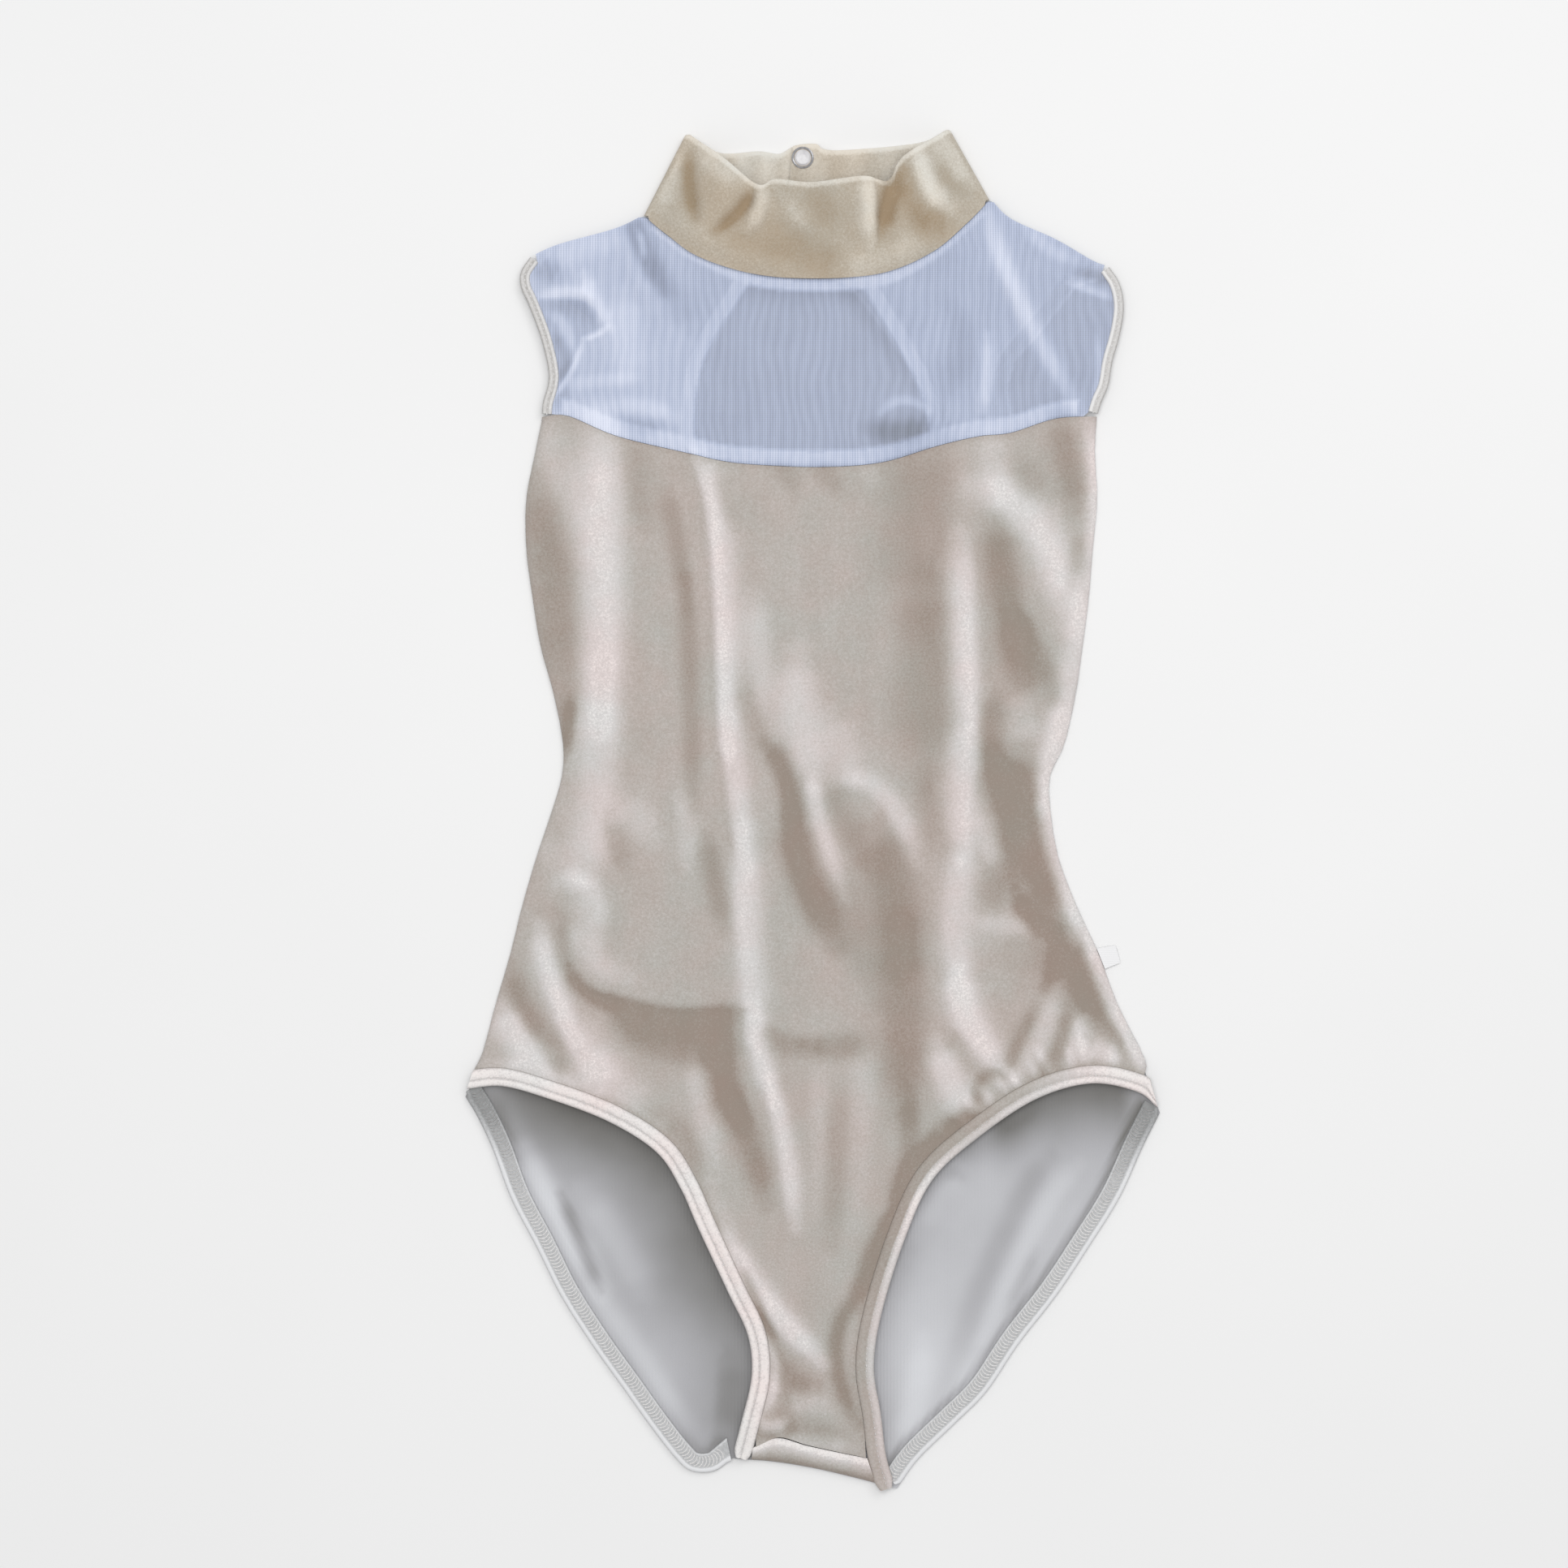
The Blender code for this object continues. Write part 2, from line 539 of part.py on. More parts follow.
def back_yokes():
    """The two back nets, one on each side of the keyhole, with their turned hems."""
    neck = spline(BACK_NECK)
    top = spline(BACK_TOP)
    sides = (
        ("left", LEFT_SHOULDER, LEFT_BACK_ARM, LEFT_KEYHOLE, -1),
        ("right", RIGHT_SHOULDER, RIGHT_BACK_ARM, RIGHT_KEYHOLE, 1),
    )
    for name, shoulder, arm, keyhole, sign in sides:
        shoulder = spline(shoulder)[1:-2]
        arm = spline(arm)
        keyhole = spline(keyhole)
        net_arm = offset(arm, -sign * (ARM_BINDING + SEAM_GAP))
        net_arm = net_arm[(net_arm[:, 1] < 262) & (net_arm[:, 1] > 176)]
        low, high = sorted((net_arm[-1, 0], keyhole[-1, 0]))
        base = top[(top[:, 0] > low + 2) & (top[:, 0] < high - 2)] + np.array([0, SEAM_GAP])
        low, high = sorted((keyhole[0, 0], shoulder[0, 0]))
        neck_part = neck[(neck[:, 0] > low + 1) & (neck[:, 0] < high + 1)] - np.array([0, NECK_GAP])
        if sign < 0:
            base = base[::1]
            neck_part = neck_part[::-1]
        else:
            base = base[::-1]
        keyhole_foot = Spot(keyhole[-1, 0], float(np.interp(keyhole[-1, 0], top[:, 0], top[:, 1])) + SEAM_GAP)
        edge = keyhole[keyhole[:, 1] > keyhole_foot.y + 2]
        edge = edge[edge[:, 1] < 277]
        outline = np.concatenate([neck_part, shoulder, net_arm, base, [keyhole_foot], edge[::-1]])
        flat_panel(f"back_yoke_{name}", outline, NET, "stretch_net")
        hem_edge = share_of(edge, 0.01, 0.99)
        hem_inner = offset(hem_edge, sign * KEYHOLE_HEM)
        hem_height = at_height(NET + SEAM_GAP)
        band(f"keyhole_hem_{name}", hem_edge, hem_inner, hem_height, ALLOWANCE, TURNED, "stretch_net")
        binding = share_of(arm, 0.06, 0.97)
        inner = offset(binding, -sign * ARM_BINDING)
        band(f"back_arm_binding_{name}", binding, inner, at_height(0.15), BACK_BINDING_HEIGHT, ROUNDED,
             "elastic_trim")


def arm_bindings():
    for name, arm, sign in (("left", LEFT_ARM, 1), ("right", RIGHT_ARM, -1)):
        outer, inner = arm_lines(arm, sign)[:2]
        band(f"front_arm_binding_{name}", outer, inner, on_front, FRONT_BINDING_HEIGHT, ROUNDED, "elastic_trim")


def leg_trims():
    """Front leg bands, and the back's elastic casings turned to the inside."""
    band("front_leg_band_left", LEFT_LEG_EDGE, LEFT_BAND_EDGE, on_front, LEG_BAND_HEIGHT, ROUNDED, "velvet_body")
    band("front_leg_band_right", RIGHT_LEG_EDGE, RIGHT_BAND_EDGE, on_front, LEG_BAND_HEIGHT, ROUNDED,
         "velvet_body")
    on_back = at_height(VELVET + SEAM_GAP)
    for name, edge, start, end, sign in (
        ("left", LEFT_BACK_LEG, 0.03, 0.93, 1), ("right", RIGHT_BACK_LEG, 0.03, 0.93, -1),
    ):
        outer = offset(share_of(spline(edge), start, end), sign * 0.3)
        inner = offset(outer, sign * LEG_CASING)
        band(f"back_leg_casing_{name}", outer, inner, on_back, CASING_HEIGHT, TURNED, "elastic_trim")


def crotch_fold():
    """The rolled fold where the front passes under to the back."""
    outer = share_of(spline(CROTCH_EDGE), 0.12, 0.88)
    inner = share_of(spline(CROTCH_LINE), 0.06, 0.94) - np.array([0, SEAM_GAP + 0.3])
    count = len(outer)
    steps = np.linspace(0, len(inner) - 1, count)
    inner = np.column_stack([np.interp(steps, range(len(inner)), inner[:, axis]) for axis in (0, 1)])
    columns = []
    bottom = VELVET + SEAM_GAP
    top = on_front(inner) + VELVET
    for ledge in ROUNDED[:-1] + [Ledge(1, 0.95)]:
        line = outer + (inner - outer) * ledge.share
        columns.append(np.column_stack([line, bottom + (top - bottom) * ledge.crown]))
    for ledge in reversed(ROUNDED):
        line = outer + (inner - outer) * ledge.share
        columns.append(np.column_stack([line, np.full(count, bottom)]))
    tube_solid("crotch_fold", np.array(columns), "velvet_body")


def collar():
    """One band round the neck, flattened, with its ends lapped at the centre back."""
    rows = np.linspace(0, 1, 8)
    lines = {
        "back_low": spline(BACK_NECK, 2.0), "back_top": spline(BACK_COLLAR_TOP, 2.0),
        "front_low": spline(FRONT_NECK, 2.0), "front_top": spline(FRONT_COLLAR_TOP, 2.0),
    }

    def at(line, share):
        left, right = lines[line][0, 0], lines[line][-1, 0]
        x = left + (right - left) * share
        return np.array([x, np.interp(x, lines[line][:, 0], lines[line][:, 1])])

    half = COLLAR_WALL / 2
    inset_by = COLLAR_FOLD_RADIUS + half
    narrow = inset_by / 150.0
    middle = []

    def back_column(share):
        lift = (COLLAR_WALL + SEAM_GAP) * smooth((0.52 + 0.06 - share) / 0.06) if share < 0.6 else 0.0
        return [(*((1 - row) * at("back_low", share) + row * at("back_top", share)), half + lift) for row in rows]

    def left_back_column(share):
        return [(*((1 - row) * at("back_low", share) + row * at("back_top", share)), half) for row in rows]

    def front_column(share):
        column = []
        for row in rows:
            x, y = (1 - row) * at("front_low", share) + row * at("front_top", share)
            column.append((x, y, float(front_underside(x, y)) + half))
        return column

    def fold_columns(share, sign):
        columns = []
        for turn in (-60, -30, 0, 30, 60):
            angle = math.radians(turn)
            column = []
            for row in rows:
                x, y = (1 - row) * at("back_low", share) + row * at("back_top", share)
                outward = COLLAR_FOLD_RADIUS * math.cos(angle)
                height = half + COLLAR_FOLD_RADIUS * (1 + math.sin(angle))
                column.append((x + sign * outward, y, height))
            columns.append(column)
        return columns if sign < 0 else columns[::-1]

    for share in np.linspace(LEFT_END_SHARE, narrow, 13):
        middle.append(left_back_column(share))
    middle += fold_columns(narrow, -1)
    for share in np.linspace(narrow, 1 - narrow, 34):
        middle.append(front_column(share))
    middle += fold_columns(1 - narrow, 1)
    for share in np.linspace(1 - narrow, RIGHT_END_SHARE, 17):
        middle.append(back_column(share))
    middle = np.array(middle)
    around = np.gradient(middle, axis=0)
    up = np.gradient(middle, axis=1)
    facing = np.cross(around, up)
    facing /= np.linalg.norm(facing, axis=2)[:, :, None]
    outer = middle + facing * half
    inner = middle - facing * half
    long_way, short_way = middle.shape[:2]
    count = long_way * short_way
    points = np.concatenate([outer.reshape(-1, 3), inner.reshape(-1, 3)])
    faces = []
    for i in range(long_way - 1):
        for j in range(short_way - 1):
            a, b = i * short_way + j, (i + 1) * short_way + j
            faces.append((a, b, b + 1, a + 1))
            faces.append((a + count + 1, b + count + 1, b + count, a + count))
    for j, flip in ((0, False), (short_way - 1, True)):
        for i in range(long_way - 1):
            a, b = i * short_way + j, (i + 1) * short_way + j
            quad = (a, a + count, b + count, b)
            faces.append(quad[::-1] if flip else quad)
    for i, flip in ((0, True), (long_way - 1, False)):
        for j in range(short_way - 1):
            a = i * short_way + j
            quad = (a, a + count, a + 1 + count, a + 1)
            faces.append(quad[::-1] if flip else quad)
    add_object("collar", points, faces, "velvet_collar")


def turned(name, profile, centre, material, sides=28):
    """A solid turned about an upright axis from (radius, height) pairs."""
    points = []
    for radius, height in profile:
        for side in range(sides):
            angle = 2 * math.pi * side / sides
            points.append((centre.x + radius * math.cos(angle), centre.y + radius * math.sin(angle), height))
    faces = []
    for row in range(len(profile) - 1):
        for side in range(sides):
            a = row * sides + side
            b = row * sides + (side + 1) % sides
            faces.append((a, b, b + sides, a + sides))
    return points, faces, sides


def snap():
    """The ring snap that closes the collar, fastened, with its inner face up."""
    seat = 2 * COLLAR_WALL + 2 * SEAM_GAP
    centre = Spot(SNAP_X, SNAP_Y)
    wire = SNAP_WIRE
    rim = SNAP_RADIUS - wire
    loop = []
    for turn in range(8):
        angle = 2 * math.pi * turn / 8
        loop.append((rim + wire * math.cos(angle), seat + wire + wire * math.sin(angle)))
    points, faces, sides = turned("snap_ring", loop, centre, "snap_ring")
    last = (len(loop) - 1) * sides
    faces += [(last + i, last + (i + 1) % sides, (i + 1) % sides, i) for i in range(sides)]
    add_object("snap_ring", points, faces, "snap_ring")
    cap_radius = rim - wire - SEAM_GAP
    profile = [
        (cap_radius, seat), (cap_radius, seat + 0.7), (cap_radius * 0.8, seat + 1.1),
        (cap_radius * 0.4, seat + SNAP_CAP_HEIGHT),
    ]
    points, faces, sides = turned("snap_cap", profile, centre, "snap_cap")
    faces.append(tuple(range(sides)))
    faces.append(tuple((len(profile) - 1) * sides + i for i in range(sides)))
    add_object("snap_cap", points, faces, "snap_cap")


def side_label():
    """The plain tape tab sewn into the right side seam."""
    low = LABEL["y"] - LABEL["width"] / 2
    high = LABEL["y"] + LABEL["width"] / 2
    root_low = float(np.interp(low, RIGHT_SIDE[::-1, 1], RIGHT_SIDE[::-1, 0])) + SEAM_GAP
    root_high = float(np.interp(high, RIGHT_SIDE[::-1, 1], RIGHT_SIDE[::-1, 0])) + SEAM_GAP
    reach = root_high + LABEL["length"] - SEAM_GAP
    corners = np.array([(root_low, low), (reach + 2.4, low + 3.0), (reach, high + 1.5), (root_high, high)])
    flat, faces = fill(corners, 0)
    bottom = np.full(len(flat), LABEL["bottom"])
    slab("side_label", flat, faces, bottom, bottom + LABEL["height"], "label_tape")


def build():
    clear_scene()
    body_panels()
    front_yoke()
    back_yokes()
    arm_bindings()
    leg_trims()
    crotch_fold()
    collar()
    snap()
    side_label()


build()
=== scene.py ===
import math
from collections import namedtuple

import bmesh
import bpy
import numpy as np
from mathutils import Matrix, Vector
from mathutils.geometry import delaunay_2d_cdt


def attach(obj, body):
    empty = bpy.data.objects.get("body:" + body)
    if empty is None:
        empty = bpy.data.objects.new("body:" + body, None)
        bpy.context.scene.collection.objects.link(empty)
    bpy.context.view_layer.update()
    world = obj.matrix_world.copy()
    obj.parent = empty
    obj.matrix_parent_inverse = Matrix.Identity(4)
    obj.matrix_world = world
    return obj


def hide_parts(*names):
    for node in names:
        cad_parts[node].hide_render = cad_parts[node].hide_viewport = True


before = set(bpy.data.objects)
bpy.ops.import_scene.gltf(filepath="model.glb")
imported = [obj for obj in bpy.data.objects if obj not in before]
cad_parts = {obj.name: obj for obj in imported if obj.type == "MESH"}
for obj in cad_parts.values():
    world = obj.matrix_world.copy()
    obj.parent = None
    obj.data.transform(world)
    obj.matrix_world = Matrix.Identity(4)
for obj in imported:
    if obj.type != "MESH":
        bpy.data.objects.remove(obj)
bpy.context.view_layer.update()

# Ballet leotard laid flat on its back. Sizes are in millimetres on the garment, with
# x to the viewer's right, y from the legs to the collar and z up from the surface.
MM = 0.001
TINY = 1e-9
CENTRE_X = 0.5
CENTRE_Y = -1.25
PHOTO_SIDE = 1932
MM_PER_PIXEL = 0.4
PHOTO_MIDDLE_X = -13.6
PHOTO_MIDDLE_Y = 12.0

# Cloth walls and trims
VELVET = 1.2
NET = 0.5
COLLAR_WALL = 1.8
LEG_BAND = 9.0
LEG_CASING = 9.5
CASING_TUCK = 4.0
ARM_BINDING = 5.0
YOKE_ALLOWANCE = 8.0
NECK_ALLOWANCE = 6.0
KEYHOLE_HEM = 5.5
SEAM_GAP = 0.3
NECK_GAP = 0.5
SEAM_DIP = 0.35
SEAM_REACH = 1.8
ROLL = 4.0
BACK_INSET = 1.9

# Loft of the front layer over the back layer
BODY_LOFT = 2.2
NECK_LOFT = 11.0
NECK_LOFT_STARTS = 232.0
NECK_LOFT_ENDS = 306.0
FOLD_TAPER = 0.22
FOLD_FLATNESS = 2.6
PALEST_FOLD = 0.87
RIDGE_RISE = 3.4
HOLLOW_RISE = 1.8
SIDE_EASE = 34.0
HIP_Y = -145.0
CROTCH_Y = -311.0

# Spacing of the mesh points
FRONT_STEP = 2.1
BACK_STEP = 2.8
NET_STEP = 1.4
LINE_STEP = 2.4

# Stitches
BOW_RADIUS = 3.7
BOW_SWEEP = 92.0
BOW_THREAD = 0.38
BOW_SPACING = 1.75
BOW_SUNK = 0.12
TOP_LENGTH = 1.7
TOP_SPACING = 2.8

Side = namedtuple("Side", "y left right")
Spot = namedtuple("Spot", "x y")
Gap = namedtuple("Gap", "y gap")
Fold = namedtuple("Fold", "x0 y0 x1 y1 x2 y2 west east nap height", defaults=[None])
Ledge = namedtuple("Ledge", "share crown nap")

BODY_SIDES = [
    Side(193, -132.5, 140.5),
    Side(176, -136.0, 139.5),
    Side(152, -140.5, 140.5),
    Side(128, -140.5, 138.5),
    Side(104, -137.5, 136.5),
    Side(80, -133.5, 133.5),
    Side(56, -127.0, 130.0),
    Side(32, -122.5, 124.5),
    Side(16, -123.0, 117.5),
    Side(0, -127.5, 117.5),
    Side(-24, -135.5, 121.5),
    Side(-48, -142.5, 130.5),
    Side(-72, -148.5, 141.5),
    Side(-96, -155.5, 150.5),
    Side(-120, -162.0, 162.5),
    Side(-129, -166.5, 165.5),
]
LEFT_LEG = [
    Spot(-169.5, -138), Spot(-152, -136.6), Spot(-130, -142.4), Spot(-100, -153.8),
    Spot(-76.4, -168.8), Spot(-64.6, -186.4), Spot(-55.8, -206.2), Spot(-41.2, -237.6),
    Spot(-31.4, -259), Spot(-29.6, -279), Spot(-34.4, -300.6), Spot(-39, -318.5),
]
RIGHT_LEG = [
    Spot(170, -147), Spot(160, -139.4), Spot(137, -135.2), Spot(110, -143),
    Spot(82, -161.6), Spot(59.5, -182.4), Spot(46, -211), Spot(34.4, -248),
    Spot(30.6, -274), Spot(34, -297.6), Spot(36.5, -317.6), Spot(41, -333.5),
]
LEFT_BACK_LEG = [
    Spot(-170.5, -142), Spot(-164.5, -152), Spot(-157, -168), Spot(-148, -192),
    Spot(-135.5, -216), Spot(-123.5, -240), Spot(-108.2, -264), Spot(-91.6, -287.2),
    Spot(-80, -303.4), Spot(-68, -318.8), Spot(-59.6, -326.2), Spot(-48, -326.4),
    Spot(-39, -320),
]
RIGHT_BACK_LEG = [
    Spot(171.5, -150), Spot(162.5, -168), Spot(151.5, -192), Spot(136.5, -216),
    Spot(120.5, -240), Spot(102, -263.7), Spot(86.2, -287.2), Spot(70.2, -303.3),
    Spot(52.6, -320.4), Spot(42, -335),
]
CROTCH_EDGE = [Spot(-37, -320.5), Spot(-20, -321.6), Spot(0, -324.8), Spot(24, -330.4), Spot(39, -334.6)]
CROTCH_LINE = [Spot(-27.4, -314), Spot(-16, -309), Spot(-2, -312.8), Spot(14, -316.4), Spot(26.6, -319)]
YOKE_SEAM = [
    Spot(-132.8, 192.8), Spot(-120, 193), Spot(-96, 183), Spot(-60, 174.4), Spot(-44, 170.8), Spot(-28, 169),
    Spot(4, 167.8), Spot(34, 170), Spot(62, 178.2), Spot(82, 182.8), Spot(98, 184.6), Spot(120, 191.6),
    Spot(140.5, 193),
]
FRONT_NECK = [
    Spot(-83, 292), Spot(-70, 280.8), Spot(-56, 270.8), Spot(-30, 262.6), Spot(0, 260),
    Spot(34, 262.6), Spot(60, 273.4), Spot(76, 287), Spot(88, 300),
]
BACK_NECK = [Spot(-83, 292), Spot(-40, 281), Spot(0, 278), Spot(44, 284), Spot(88, 300)]
LEFT_SHOULDER = [Spot(-83, 292), Spot(-96.8, 285.6), Spot(-124, 278), Spot(-138, 272)]
RIGHT_SHOULDER = [Spot(88, 300), Spot(98, 290.4), Spot(120, 280.4), Spot(138, 270), Spot(146, 267)]
LEFT_ARM = [
    Spot(-138, 272), Spot(-143.2, 264), Spot(-143, 256), Spot(-139.4, 248), Spot(-133.4, 232),
    Spot(-129.6, 216), Spot(-129.8, 208), Spot(-132.2, 200), Spot(-132.8, 193),
]
RIGHT_ARM = [
    Spot(146, 267), Spot(151.6, 258), Spot(153.6, 246), Spot(151.4, 232), Spot(148, 220),
    Spot(146, 208), Spot(142.6, 200), Spot(140.5, 193),
]
LEFT_BACK_ARM = [
    Spot(-137, 268), Spot(-128, 250), Spot(-110, 236), Spot(-104, 226), Spot(-112, 208),
    Spot(-121, 194), Spot(-126, 178),
]
RIGHT_BACK_ARM = [
    Spot(144, 264), Spot(128, 256), Spot(108, 236), Spot(92, 216), Spot(85, 200), Spot(88, 184),
    Spot(104, 172),
]
LEFT_KEYHOLE = [Spot(-20, 279), Spot(-31, 257.6), Spot(-48.6, 229), Spot(-56, 207), Spot(-58, 166)]
RIGHT_KEYHOLE = [Spot(12, 279), Spot(25, 255.6), Spot(40.8, 230), Spot(52.6, 206), Spot(57.6, 184), Spot(58, 166)]
BACK_TOP = [
    Spot(-137, 172), Spot(-126, 171), Spot(-57, 162), Spot(0, 160), Spot(62, 162), Spot(104, 166),
    Spot(139, 166),
]
FRONT_COLLAR_TOP = [
    Spot(-62, 332.4), Spot(-46, 320.4), Spot(-27, 304.4), Spot(-18, 307), Spot(0, 305.6),
    Spot(24, 308.4), Spot(37, 306.4), Spot(42, 315), Spot(48, 321), Spot(68, 334.4),
]
BACK_COLLAR_TOP = [
    Spot(-62, 332.4), Spot(-46, 322.6), Spot(-26, 323.2), Spot(-16, 322), Spot(-8.8, 325.6),
    Spot(2, 326.6), Spot(10, 323.6), Spot(52, 327.2), Spot(68, 334.4),
]
COLLAR_FOLD_RADIUS = 1.8
LEFT_END_SHARE = 0.50
RIGHT_END_SHARE = 0.405
EDGE_GAPS = [
    Gap(-336, 3.2), Gap(-132, 3.2), Gap(-100, 1.5), Gap(160, 1.5), Gap(190, 2.6),
    Gap(255, 2.6), Gap(268, 1.9), Gap(284, 1.9), Gap(300, 3.2), Gap(336, 3.2),
]

